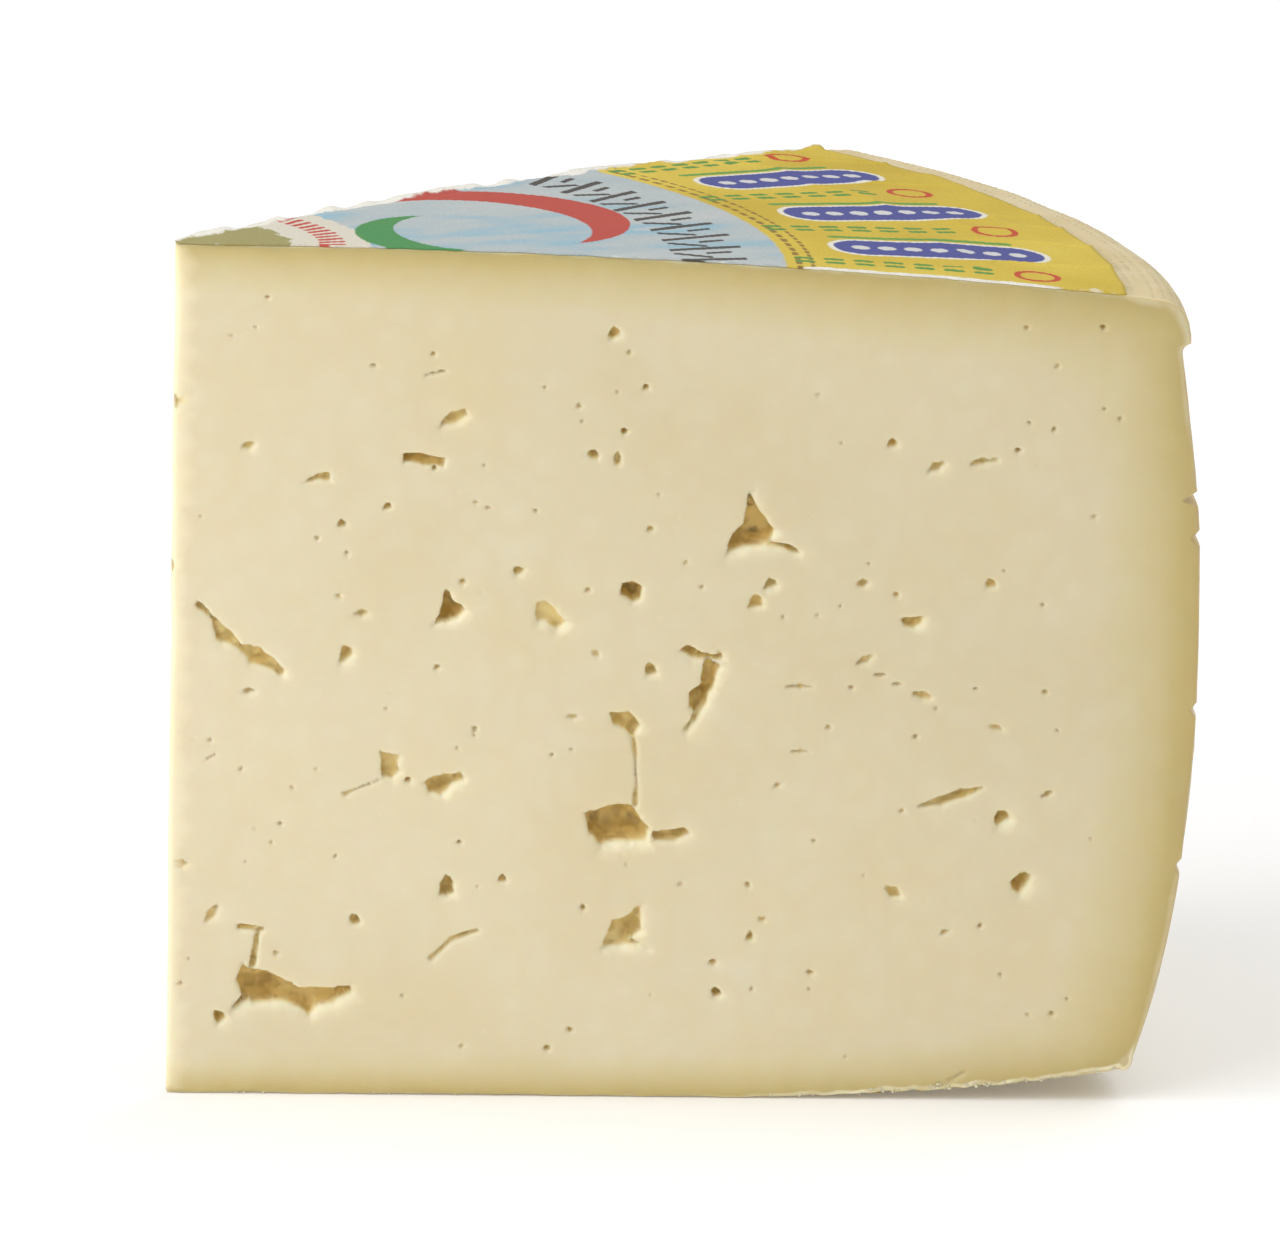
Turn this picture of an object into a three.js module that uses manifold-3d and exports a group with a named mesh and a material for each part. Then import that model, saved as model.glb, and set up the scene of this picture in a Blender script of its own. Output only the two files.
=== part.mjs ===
// A wedge of pressed cow's milk cheese: one eighth of a wheel, with a printed paper label on its top.
//
// The wheel is turned from its profile and the slice is cut from it, as on the cheesemonger's board.
// The paste and its rind are one solid. The openings that the knife laid bare in the two cut faces and
// the bars that the mould pressed into the rind are cut out of it. The label is a thin second solid.
//
// Units are millimetres and +Z is up. +X runs from the tip to the rind along the slice's middle line,
// and the origin is the middle of the bounding box, on the surface that the wedge stands on.
import * as THREE from "three";
import { mergeVertices } from "three/addons/utils/BufferGeometryUtils.js";
import Module from "manifold-3d";

const wasm = await Module();
wasm.setup();

// Driving dimensions of the wheel and the slice.
const WHEEL_RADIUS = 170; // at its widest, half way up the side
const TIP_HEIGHT = 143; // thickness of the wheel on its axis
const SLICE_ANGLE = THREE.MathUtils.degToRad(45); // one eighth of the wheel

// The wheel's outline. The underside is flat, then lifts towards a small rounded heel. The side bellies
// out, and the edge of the mould's lid has left a step in it under the rim.
const FOOT_RADIUS = 92; // the underside is flat out to here
const LIFT_RADIUS = 128; // and begins to lift off the table about here
const HEEL = { radius: 158.5, height: 5.2 }; // outer end of the lifted underside
const HEEL_ROUND = { out: 2, up: 2.4 }; // of the corner above it
const BELLY_HEIGHT = 74; // where the side is widest
const BELLY_TOP = 100; // the side turns inwards again here
const LID_LINE = { from: 114.5, to: 126.7, top: 128.1, depth: 1.4 }; // step left by the mould's lid
const LID_RADIUS = 167.4; // of the band above the lid line
const SHOULDER = { radius: 161, height: 135.7 }; // where the rounded rim meets the domed top
const DOME_CONTROL_RADIUS = 84; // the top stays level out to about here

// The label.
const LABEL_RADIUS = 156.5;
const LABEL_THICKNESS = 0.3;
const LABEL_GAP = 0.3;

// Facets.
const TURN_SEGMENTS = 100; // round the whole wheel
const CURVE_STEPS = 7; // along each curve of the outline
const EYE_FACETS = { round: 12, down: 8 };

// The bars that the mould presses into the side, in rows round the wheel.
const BAR = { length: 25, width: 2.6, depth: 1.5 };
const BAR_ROWS = [102, 95.5, 66.5, 40]; // heights
const BAR_PITCH = THREE.MathUtils.degToRad(13.5);
const BAR_COLUMNS = 4; // the near cut goes through the middle of the first

// The larger openings of each cut face: distance from the tip, height, the size of the mouth, how far
// they go in, and how they lean in degrees.
const NEAR_EYES = [
  { out: 96, up: 98, wide: 8, tall: 10, deep: 6, turn: 15 },
  { out: 76, up: 45.5, wide: 13, tall: 6.5, deep: 7, turn: 0 },
  { out: 20.5, up: 17, wide: 15, tall: 6, deep: 5, turn: -15 },
  { out: 76, up: 28.5, wide: 8, tall: 6, deep: 4.5, turn: 20 },
  { out: 89, up: 71.5, wide: 4, tall: 10, deep: 4, turn: -25 },
  { out: 47.5, up: 81.5, wide: 4.6, tall: 4.8, deep: 4, turn: 0 },
];
const FAR_EYES = [
  { out: 62, up: 104, wide: 11, tall: 6, deep: 6, turn: 25 },
  { out: 112, up: 72, wide: 8, tall: 9, deep: 6.5, turn: -20 },
  { out: 38, up: 58, wide: 5, tall: 8, deep: 4.5, turn: 10 },
  { out: 84, up: 33, wide: 13, tall: 6, deep: 6, turn: -8 },
  { out: 132, up: 108, wide: 6, tall: 4, deep: 3.5, turn: 30 },
];

/** The curve over the top, from the shoulder in to the wheel's axis. */
function domeCurve() {
  return new THREE.QuadraticBezierCurve(
    new THREE.Vector2(SHOULDER.radius, SHOULDER.height),
    new THREE.Vector2(DOME_CONTROL_RADIUS, TIP_HEIGHT),
    new THREE.Vector2(0, TIP_HEIGHT),
  );
}

/** Half the wheel's outline, from the axis on the underside round to the axis on top. */
function wheelOutline() {
  const path = new THREE.Path();
  path.moveTo(0, 0);
  path.lineTo(FOOT_RADIUS, 0);
  path.quadraticCurveTo(LIFT_RADIUS, 0, HEEL.radius, HEEL.height);
  const heelTop = new THREE.Vector2(HEEL.radius + HEEL_ROUND.out, HEEL.height + HEEL_ROUND.up);
  path.quadraticCurveTo(heelTop.x, HEEL.height, heelTop.x, heelTop.y);
  path.quadraticCurveTo(WHEEL_RADIUS, BELLY_HEIGHT / 2, WHEEL_RADIUS, BELLY_HEIGHT);
  path.quadraticCurveTo(WHEEL_RADIUS, BELLY_TOP, LID_RADIUS, LID_LINE.from);
  path.lineTo(LID_RADIUS - LID_LINE.depth, LID_LINE.to);
  path.lineTo(LID_RADIUS, LID_LINE.top);
  path.quadraticCurveTo(LID_RADIUS, SHOULDER.height, SHOULDER.radius, SHOULDER.height);
  const dome = domeCurve().getPoints(CURVE_STEPS).slice(1);
  return [...path.getPoints(CURVE_STEPS), ...dome];
}

/** The wheel's radius at a height on its side. */
function sideRadius(height) {
  const side = wheelOutline().filter((p) => p.x > HEEL.radius && p.y < LID_LINE.to);
  const above = side.findIndex((p) => p.y >= height);
  const [low, high] = [side[above - 1], side[above]];
  return THREE.MathUtils.mapLinear(height, low.y, high.y, low.x, high.x);
}

/** A closed three.js geometry as a manifold solid. */
function solidOf(geometry) {
  const bare = geometry.clone();
  bare.deleteAttribute("normal");
  bare.deleteAttribute("uv");
  const merged = mergeVertices(bare, 1e-4);
  return new wasm.Manifold(
    new wasm.Mesh({
      numProp: 3,
      vertProperties: merged.attributes.position.array,
      triVerts: new Uint32Array(merged.index.array),
    }),
  );
}

/** A manifold solid as a three.js geometry. */
function geometryOf(solid) {
  const mesh = solid.getMesh();
  const geometry = new THREE.BufferGeometry();
  geometry.setAttribute("position", new THREE.BufferAttribute(new Float32Array(mesh.vertProperties), 3));
  geometry.setIndex(new THREE.BufferAttribute(new Uint32Array(mesh.triVerts), 1));
  return geometry;
}

/** An outline of radius and height, turned all the way round the Z axis. */
function turned(outline) {
  return solidOf(new THREE.LatheGeometry(outline, TURN_SEGMENTS).rotateX(Math.PI / 2));
}

/** The space between the two knife cuts, from the wheel's axis outwards. */
function sliceSpace() {
  const reach = 2 * WHEEL_RADIUS;
  const half = SLICE_ANGLE / 2;
  const plan = new THREE.Shape([
    new THREE.Vector2(0, 0),
    new THREE.Vector2(reach * Math.cos(half), -reach * Math.sin(half)),
    new THREE.Vector2(reach * Math.cos(half), reach * Math.sin(half)),
  ]);
  const height = 2 * TIP_HEIGHT;
  const prism = new THREE.ExtrudeGeometry(plan, { depth: height, bevelEnabled: false });
  return solidOf(prism.translate(0, 0, -TIP_HEIGHT / 2));
}

/** One opening, as a flattened ball centred on a cut face. side is -1 for the near cut, 1 for the far. */
function eye({ out, up, wide, tall, deep, turn }, side) {
  const half = (side * SLICE_ANGLE) / 2;
  const ball = new THREE.SphereGeometry(1, EYE_FACETS.round, EYE_FACETS.down);
  ball.scale(wide / 2, deep, tall / 2);
  ball.rotateY(THREE.MathUtils.degToRad(turn));
  ball.translate(out, 0, up);
  return solidOf(ball.rotateZ(half));
}

/** One V-shaped bar, lying along the side of the wheel. */
function bar(height, angle) {
  const edge = BAR.width / Math.SQRT2;
  const length = new THREE.BoxGeometry(edge, BAR.length, edge);
  length.rotateY(Math.PI / 4);
  length.translate(sideRadius(height) - BAR.depth + BAR.width / 2, 0, height);
  return solidOf(length.rotateZ(angle));
}

/** Every bar of the side, row by row. */
function bars() {
  const made = [];
  for (const height of BAR_ROWS) {
    for (let column = 0; column < BAR_COLUMNS; column++) {
      made.push(bar(height, column * BAR_PITCH - SLICE_ANGLE / 2));
    }
  }
  return made;
}

/** The paste with its rind, in one piece. */
function cheese() {
  let solid = turned(wheelOutline()).intersect(sliceSpace());
  for (const cutter of bars()) solid = solid.subtract(cutter);
  for (const opening of NEAR_EYES) solid = solid.subtract(eye(opening, -1));
  for (const opening of FAR_EYES) solid = solid.subtract(eye(opening, 1));
  return solid;
}

/** The part of the round label that stays on the slice. It follows the domed top. */
function label() {
  const dome = domeCurve()
    .getPoints(2 * CURVE_STEPS)
    .filter((p) => p.x < LABEL_RADIUS);
  const slope = (SHOULDER.height - TIP_HEIGHT) / (SHOULDER.radius - DOME_CONTROL_RADIUS);
  const rim = new THREE.Vector2(LABEL_RADIUS, SHOULDER.height + (LABEL_RADIUS - SHOULDER.radius) * slope);
  const lift = (by) => [rim, ...dome].map((p) => new THREE.Vector2(p.x, p.y + by));
  const under = lift(LABEL_GAP).reverse();
  const over = lift(LABEL_GAP + LABEL_THICKNESS);
  return turned([...under, ...over]).intersect(sliceSpace());
}

const pasteMaterial = new THREE.MeshStandardMaterial({ color: 0xe5d8b6, roughness: 0.5, metalness: 0 });
const labelMaterial = new THREE.MeshStandardMaterial({ color: 0xead36a, roughness: 0.7, metalness: 0 });

const cheeseMesh = new THREE.Mesh(geometryOf(cheese()), pasteMaterial);
cheeseMesh.name = "cheese";
const labelMesh = new THREE.Mesh(geometryOf(label()), labelMaterial);
labelMesh.name = "label";

const wedge = new THREE.Group();
wedge.position.x = -WHEEL_RADIUS / 2;
wedge.add(cheeseMesh, labelMesh);

export default wedge;
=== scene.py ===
"""A wedge of pressed cow's milk cheese with part of its printed paper label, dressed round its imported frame.

The frame is a slice of a turned wheel. +X runs from the tip to the rind, +Z is up, and the two knife cuts
stand either side of the XZ plane. Sizes here are millimetres, measured on the wheel: `out` is the distance
from the wheel's axis, which is the wedge's tip edge, and `up` is the height over the table. They become
metres only where a mesh is made.
"""

import logging
import math
from collections.abc import Mapping, Sequence
from dataclasses import dataclass, field
from enum import IntEnum
from functools import partial
from typing import Any, ClassVar

import bpy
import numpy as np
from mathutils import Matrix, Vector, geometry


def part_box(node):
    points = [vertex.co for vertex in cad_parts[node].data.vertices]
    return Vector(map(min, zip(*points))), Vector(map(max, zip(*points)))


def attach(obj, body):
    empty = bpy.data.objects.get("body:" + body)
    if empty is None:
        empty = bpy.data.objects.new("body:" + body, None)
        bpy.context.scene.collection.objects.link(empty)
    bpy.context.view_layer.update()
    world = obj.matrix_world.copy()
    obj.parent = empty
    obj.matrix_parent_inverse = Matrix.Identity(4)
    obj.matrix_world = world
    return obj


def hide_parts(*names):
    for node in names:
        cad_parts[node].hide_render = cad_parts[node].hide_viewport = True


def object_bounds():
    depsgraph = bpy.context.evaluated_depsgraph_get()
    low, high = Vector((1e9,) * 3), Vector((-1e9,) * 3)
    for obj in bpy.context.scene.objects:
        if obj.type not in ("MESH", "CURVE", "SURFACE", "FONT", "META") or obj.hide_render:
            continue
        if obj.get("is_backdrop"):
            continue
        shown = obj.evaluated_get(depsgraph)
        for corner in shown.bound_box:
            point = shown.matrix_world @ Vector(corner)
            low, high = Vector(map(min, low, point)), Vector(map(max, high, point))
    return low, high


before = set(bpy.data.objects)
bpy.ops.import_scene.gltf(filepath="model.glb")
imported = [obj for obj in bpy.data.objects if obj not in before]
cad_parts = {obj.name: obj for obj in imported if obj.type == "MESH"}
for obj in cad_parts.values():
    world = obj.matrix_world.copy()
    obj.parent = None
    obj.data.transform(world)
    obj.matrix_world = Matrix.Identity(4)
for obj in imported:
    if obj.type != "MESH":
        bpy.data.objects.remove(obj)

log = logging.getLogger("cheese_wedge")

MM = 0.001  # metres in a millimetre
BODY = "root"

Array = np.ndarray
Tree = bpy.types.NodeTree
Node = bpy.types.Node
Piece = bpy.types.Object
Pair = tuple[float, float]
Triple = tuple[float, float, float]


# ---- Small helpers ----


def linear(colour: str) -> tuple[float, float, float, float]:
    """Turn an sRGB hex colour into linear light.

    Args:
        colour: six hex digits, such as "e5d8b6".

    Returns:
        Linear red, green and blue, and an alpha of 1.
    """
    parts = [int(colour[i : i + 2], 16) / 255 for i in (0, 2, 4)]
    light = [c / 12.92 if c <= 0.04045 else ((c + 0.055) / 1.055) ** 2.4 for c in parts]
    return (light[0], light[1], light[2], 1.0)


def add_node(
    tree: Tree,
    kind: str,
    inputs: Mapping[str | int, Any] | None = None,
    operation: str = "",
    stops: Sequence[tuple[float, str]] = (),
    **settings: Any,
) -> Node:
    """Add a node to a tree, with its settings and links.

    Args:
        tree: the shader or geometry tree.
        kind: the node's type. It may leave out the "ShaderNode" in front.
        inputs: value of each input, by name or position. A node or a socket is linked, the rest is set.
        operation: what a math node works out.
        stops: positions and sRGB colours of a colour ramp.
        **settings: the node's own properties.

    Returns:
        The new node.
    """
    node = tree.nodes.new(kind if "Node" in kind else f"ShaderNode{kind}")
    if operation:
        node.operation = operation
    for name, value in settings.items():
        setattr(node, name, value)
    if stops:
        ramp = node.color_ramp.elements
        while len(ramp) < len(stops):
            ramp.new(1.0)
        for element, (position, colour) in zip(ramp, stops):
            element.position = position
            element.color = linear(colour)
    for key, value in (inputs or {}).items():
        open_sockets = [s for s in node.inputs if s.enabled]
        socket = node.inputs[key] if isinstance(key, int) else next(s for s in open_sockets if s.name == key)
        if isinstance(value, Node):
            value = next(s for s in value.outputs if s.enabled)
        if isinstance(value, bpy.types.NodeSocket):
            tree.links.new(value, socket)
        else:
            socket.default_value = value
    return node


def in_scene(name: str, data: bpy.types.ID) -> Piece:
    """Make an object and link it to the scene.

    Args:
        name: the object's name.
        data: its mesh, lamp or camera.

    Returns:
        The new object.
    """
    piece = bpy.data.objects.new(name, data)
    bpy.context.scene.collection.objects.link(piece)
    return piece


def give_values(mesh: bpy.types.Mesh, values: Mapping[str, Array]) -> None:
    """Give the points of a mesh named values.

    Args:
        mesh: the mesh.
        values: by name, one number or one direction for each point.
    """
    for name, value in values.items():
        kind, slot = ("FLOAT", "value") if value.ndim == 1 else ("FLOAT_VECTOR", "vector")
        mesh.attributes.new(name, kind, "POINT").data.foreach_set(slot, value.astype(np.float32).ravel())


def loose_points(name: str, places: Array, values: Mapping[str, Array]) -> Piece:
    """Make an object of loose points, which a recipe sets something on.

    Args:
        name: the object's name.
        places: the points, mm.
        values: their named values.

    Returns:
        The new object.
    """
    mesh = bpy.data.meshes.new(name)
    mesh.from_pydata((places * MM).tolist(), [], [])
    give_values(mesh, values)
    return in_scene(name, mesh)


def walked(line: Array) -> Array:
    """Distance walked along a line at each of its points."""
    return np.concatenate([[0], np.cumsum(np.linalg.norm(np.diff(line, axis=0), axis=1))])


def polar(points: Array) -> tuple[Array, Array]:
    """Distance and bearing of plan points from the origin."""
    return np.linalg.norm(points, axis=1), np.arctan2(points[:, 1], points[:, 0])


def smoothstep(low: Array | float, high: Array | float, value: Array) -> Array:
    """Rise smoothly from 0 at low to 1 at high."""
    share = np.clip((value - low) / (high - low), 0.0, 1.0)
    return share * share * (3 - 2 * share)


@dataclass(frozen=True)
class Unevenness:
    """Smooth random hills and hollows over a plane, between -1 and 1.

    Attributes:
        size: distance between neighbouring hills, mm.
        seed: which hills.
    """

    size: float
    seed: int
    CELLS: ClassVar[int] = 128

    def at(self, x: Array, y: Array | float = 0.0) -> Array:
        """Height of the hills.

        Args:
            x: places along the plane, mm.
            y: places across it, mm.

        Returns:
            One height for each place.
        """
        table = np.random.default_rng(self.seed).uniform(-1, 1, (self.CELLS, self.CELLS))
        column, row = np.floor(x / self.size), np.floor(y / self.size)
        fx, fy = smoothstep(0, 1, x / self.size - column), smoothstep(0, 1, y / self.size - row)
        i, j = column.astype(int) % self.CELLS, row.astype(int) % self.CELLS
        i2, j2 = (i + 1) % self.CELLS, (j + 1) % self.CELLS
        low = table[i, j] * (1 - fx) + table[i2, j] * fx
        high = table[i, j2] * (1 - fx) + table[i2, j2] * fx
        return low * (1 - fy) + high * fy


def hexagonal(low: Array, high: Array, spacing: float) -> tuple[Array, Array]:
    """Lattice of equilateral triangles over a rectangle.

    Args:
        low: lowest corner.
        high: highest corner.
        spacing: distance between neighbours.

    Returns:
        The points, and for each the number of times that the lattice could be halved and keep it.
    """
    rise = spacing * math.sqrt(3) / 2
    columns = int((high[0] - low[0]) / spacing) + 2
    rows = int((high[1] - low[1]) / rise) + 2
    i, j = np.meshgrid(np.arange(-rows // 2, columns), np.arange(rows), indexing="ij")
    x = low[0] + (i + j / 2) * spacing
    y = low[1] + j * rise
    level = np.zeros(i.shape, int)
    for power in (1, 2, 3):
        step = 2**power
        level[(i % step == 0) & (j % step == 0)] = power
    inside = (x >= low[0]) & (x <= high[0]) & (y <= high[1])
    return np.stack([x[inside], y[inside]], axis=1), level[inside]


def triangulated(outline: Array, inner: Array) -> Array:
    """Delaunay triangles of a closed outline and the points inside it.

    Args:
        outline: corners of the outline, in order.
        inner: points inside it.

    Returns:
        Three indices for each triangle, into the outline followed by the inner points.
    """
    points = [Vector(p) for p in np.vstack([outline, inner])]
    border = [list(range(len(outline)))]
    _, _, faces, origin, _, _ = geometry.delaunay_2d_cdt(points, [], border, 1, 1e-7, True)
    first = np.array([ids[0] if ids else -1 for ids in origin])
    made = first[np.array(faces)]
    made = made[(made >= 0).all(axis=1)]
    flat = (made < len(outline)).all(axis=1)
    middles = outline[made[flat]].mean(axis=1)
    keep = np.ones(len(made), bool)
    keep[flat] = ring_distance(middles, outline) < 0
    return made[keep]


def ring_distance(points: Array, ring: Array) -> Array:
    """Distance of points from a closed ring of straight sides.

    Args:
        points: (n, 2) places.
        ring: (m, 2) corners.

    Returns:
        Distance, negative inside.
    """
    ends = np.roll(ring, -1, axis=0)
    run = ends - ring
    to = points[:, None] - ring[None]
    share = np.clip((to * run).sum(axis=2) / np.maximum(1e-9, (run**2).sum(axis=1)), 0, 1)
    gap = np.linalg.norm(to - share[..., None] * run, axis=2).min(axis=1)
    above = points[:, None, 1] >= ring[None, :, 1]
    over = points[:, None, 1] >= ends[None, :, 1]
    cross = run[:, 0] * to[..., 1] - run[:, 1] * to[..., 0]
    crossed = (above != over) & ((cross > 0) == (run[:, 1] > 0))
    return np.where(crossed.sum(axis=1) % 2 == 1, -gap, gap)


@dataclass
class Surface:
    """A mesh in the making: points, facets and named values, in mm.

    Attributes:
        names: what the points' values are called.
        points: blocks of points, each (n, 3).
        facets: facets of three or four indices, with a material index.
        values: named values of the points, one block for each block of points.
    """

    names: tuple[str, ...]
    points: list[Array] = field(default_factory=list)
    facets: list[tuple[Array, int]] = field(default_factory=list)
    values: dict[str, list[Array]] = field(default_factory=dict)

    def add(self, points: Array, **values: Array | float) -> Array:
        """Add points with their values.

        Args:
            points: (n, 3) places, mm.
            **values: one number for all of them or one for each, by name. The rest are 0.

        Returns:
            The points' indices.
        """
        start = sum(len(p) for p in self.points)
        self.points.append(np.asarray(points, float))
        for name in self.names:
            given = np.broadcast_to(values.get(name, 0.0), len(points))
            self.values.setdefault(name, []).append(given)
        return np.arange(start, start + len(points))

    def fill(self, facets: Array, material: int) -> None:
        """Add facets of one material."""
        self.facets.append((facets, material))

    def made(self, name: str, materials: Sequence[bpy.types.Material]) -> Piece:
        """Make the mesh object, smooth shaded, in metres and at the origin.

        Args:
            name: the piece's name.
            materials: its materials, in the order of the facets' indices.

        Returns:
            The new object, linked to the scene.
        """
        mesh = bpy.data.meshes.new(name)
        faces = [tuple(f) for block, _ in self.facets for f in block.tolist()]
        mesh.from_pydata((np.vstack(self.points) * MM).tolist(), [], faces)
        for material in materials:
            mesh.materials.append(material)
        index = np.concatenate([np.full(len(block), material) for block, material in self.facets])
        mesh.polygons.foreach_set("material_index", index.astype(np.int32))
        give_values(mesh, {label: np.concatenate(blocks) for label, blocks in self.values.items()})
        mesh.shade_smooth()
        mesh.update()
        return in_scene(name, mesh)


class Recipe:
    """A geometry node tree with named inputs, which turns a carrier object into a finished plain mesh."""

    def __init__(self, name: str, sizes: Mapping[str, float], seed: int) -> None:
        """Start the tree.

        Args:
            name: what the tree makes.
            sizes: its size inputs, with their values in metres or as plain numbers.
            seed: its seed, for everything random in it.
        """
        self.tree = bpy.data.node_groups.new(name, "GeometryNodeTree")
        self.sizes = {**sizes, "Seed": seed}
        face = self.tree.interface
        face.new_socket("Geometry", in_out="INPUT", socket_type="NodeSocketGeometry")
        self.sockets = {}
        for label, value in self.sizes.items():
            kind = "NodeSocketInt" if isinstance(value, int) else "NodeSocketFloat"
            self.sockets[label] = face.new_socket(label, in_out="INPUT", socket_type=kind)
        self.sockets["Material"] = face.new_socket(
            "Material", in_out="INPUT", socket_type="NodeSocketMaterial"
        )
        face.new_socket("Geometry", in_out="OUTPUT", socket_type="NodeSocketGeometry")
        self.inputs = self.node("NodeGroupInput").outputs

    def node(self, kind: str, *given: Any, **settings: Any) -> Node:
        """Add a node to this recipe's tree."""
        return add_node(self.tree, kind, *given, **settings)

    def end(self, shape: Any, paint: bool = True) -> None:
        """Close the tree with Realize Instances and Set Material.

        Args:
            shape: the socket or node that gives the finished shape.
            paint: False where the shape already holds its materials.
        """
        real = self.node("GeometryNodeRealizeInstances", {"Geometry": shape})
        painted = self.node(
            "GeometryNodeSetMaterial",
            {"Geometry": real, "Selection": paint, "Material": self.inputs["Material"]},
        )
        self.node("NodeGroupOutput", {"Geometry": painted})

    def served(self, carrier: Piece, material: bpy.types.Material) -> Piece:
        """Run the tree on a carrier and keep the result as a plain mesh.

        Args:
            carrier: the object that the tree starts from. It is used up.
            material: the material for Set Material.

        Returns:
            The finished piece, under the carrier's name.
        """
        modifier = carrier.modifiers.new("recipe", "NODES")
        modifier.node_group = self.tree
        for label, value in {**self.sizes, "Material": material}.items():
            modifier[self.sockets[label].identifier] = value
        graph = bpy.context.evaluated_depsgraph_get()
        name = carrier.name
        mesh = bpy.data.meshes.new_from_object(
            carrier.evaluated_get(graph), preserve_all_data_layers=True, depsgraph=graph
        )
        bpy.data.objects.remove(carrier)
        mesh.name = name
        mesh.shade_smooth()
        return in_scene(name, mesh)


# ---- The wheel that the wedge was cut from ----


class Part(IntEnum):
    """Stretches of the wheel's outline."""

    UNDERSIDE = 0
    HEEL = 1
    SIDE = 2
    LID_STEP = 3
    RIM = 4
    DOME = 5


@dataclass(frozen=True)
class PressedBars:
    """Plain bars that the mould leaves sunk in the side, in rows round the wheel.

    Attributes:
        rows: height and depth of each row.
        length: length of a bar along the side.
        width: width of the groove.
        pitch: angle from bar to bar, in degrees. The near cut goes through the middle of the first.
        ends: length over which a bar runs out.
        shares: where rows of points lie across a bar, as shares of half its width.
    """

    rows: tuple[Pair, ...] = ((102.0, 2.0), (95.5, 1.0), (66.5, 0.8), (40.0, 0.8))
    length: float = 25.0
    width: float = 2.6
    pitch: float = 13.5
    ends: float = 1.5
    shares: tuple[float, ...] = (-1.0, -0.5, 0.0, 0.5, 1.0)

    def depth(self, angle: Array, up: Array, radius: float, first: float) -> Array:
        """Depth of the bars under the side.

        Args:
            angle: angle round the wheel.
            up: height.
            radius: the wheel's radius.
            first: angle of the first bar's middle.

        Returns:
            Depth in mm, 0 outside the bars.
        """
        pitch = math.radians(self.pitch)
        away = np.abs((angle - first + pitch / 2) % pitch - pitch / 2) * radius
        end = 1 - smoothstep(self.length / 2 - self.ends, self.length / 2, away)
        total = np.zeros(np.broadcast(angle, up).shape)
        for height, deep in self.rows:
            across = 1 - np.abs(up - height) / (self.width / 2)
            total = np.maximum(total, deep * np.clip(across, 0, 1) ** 0.8 * end)
        return total


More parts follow.
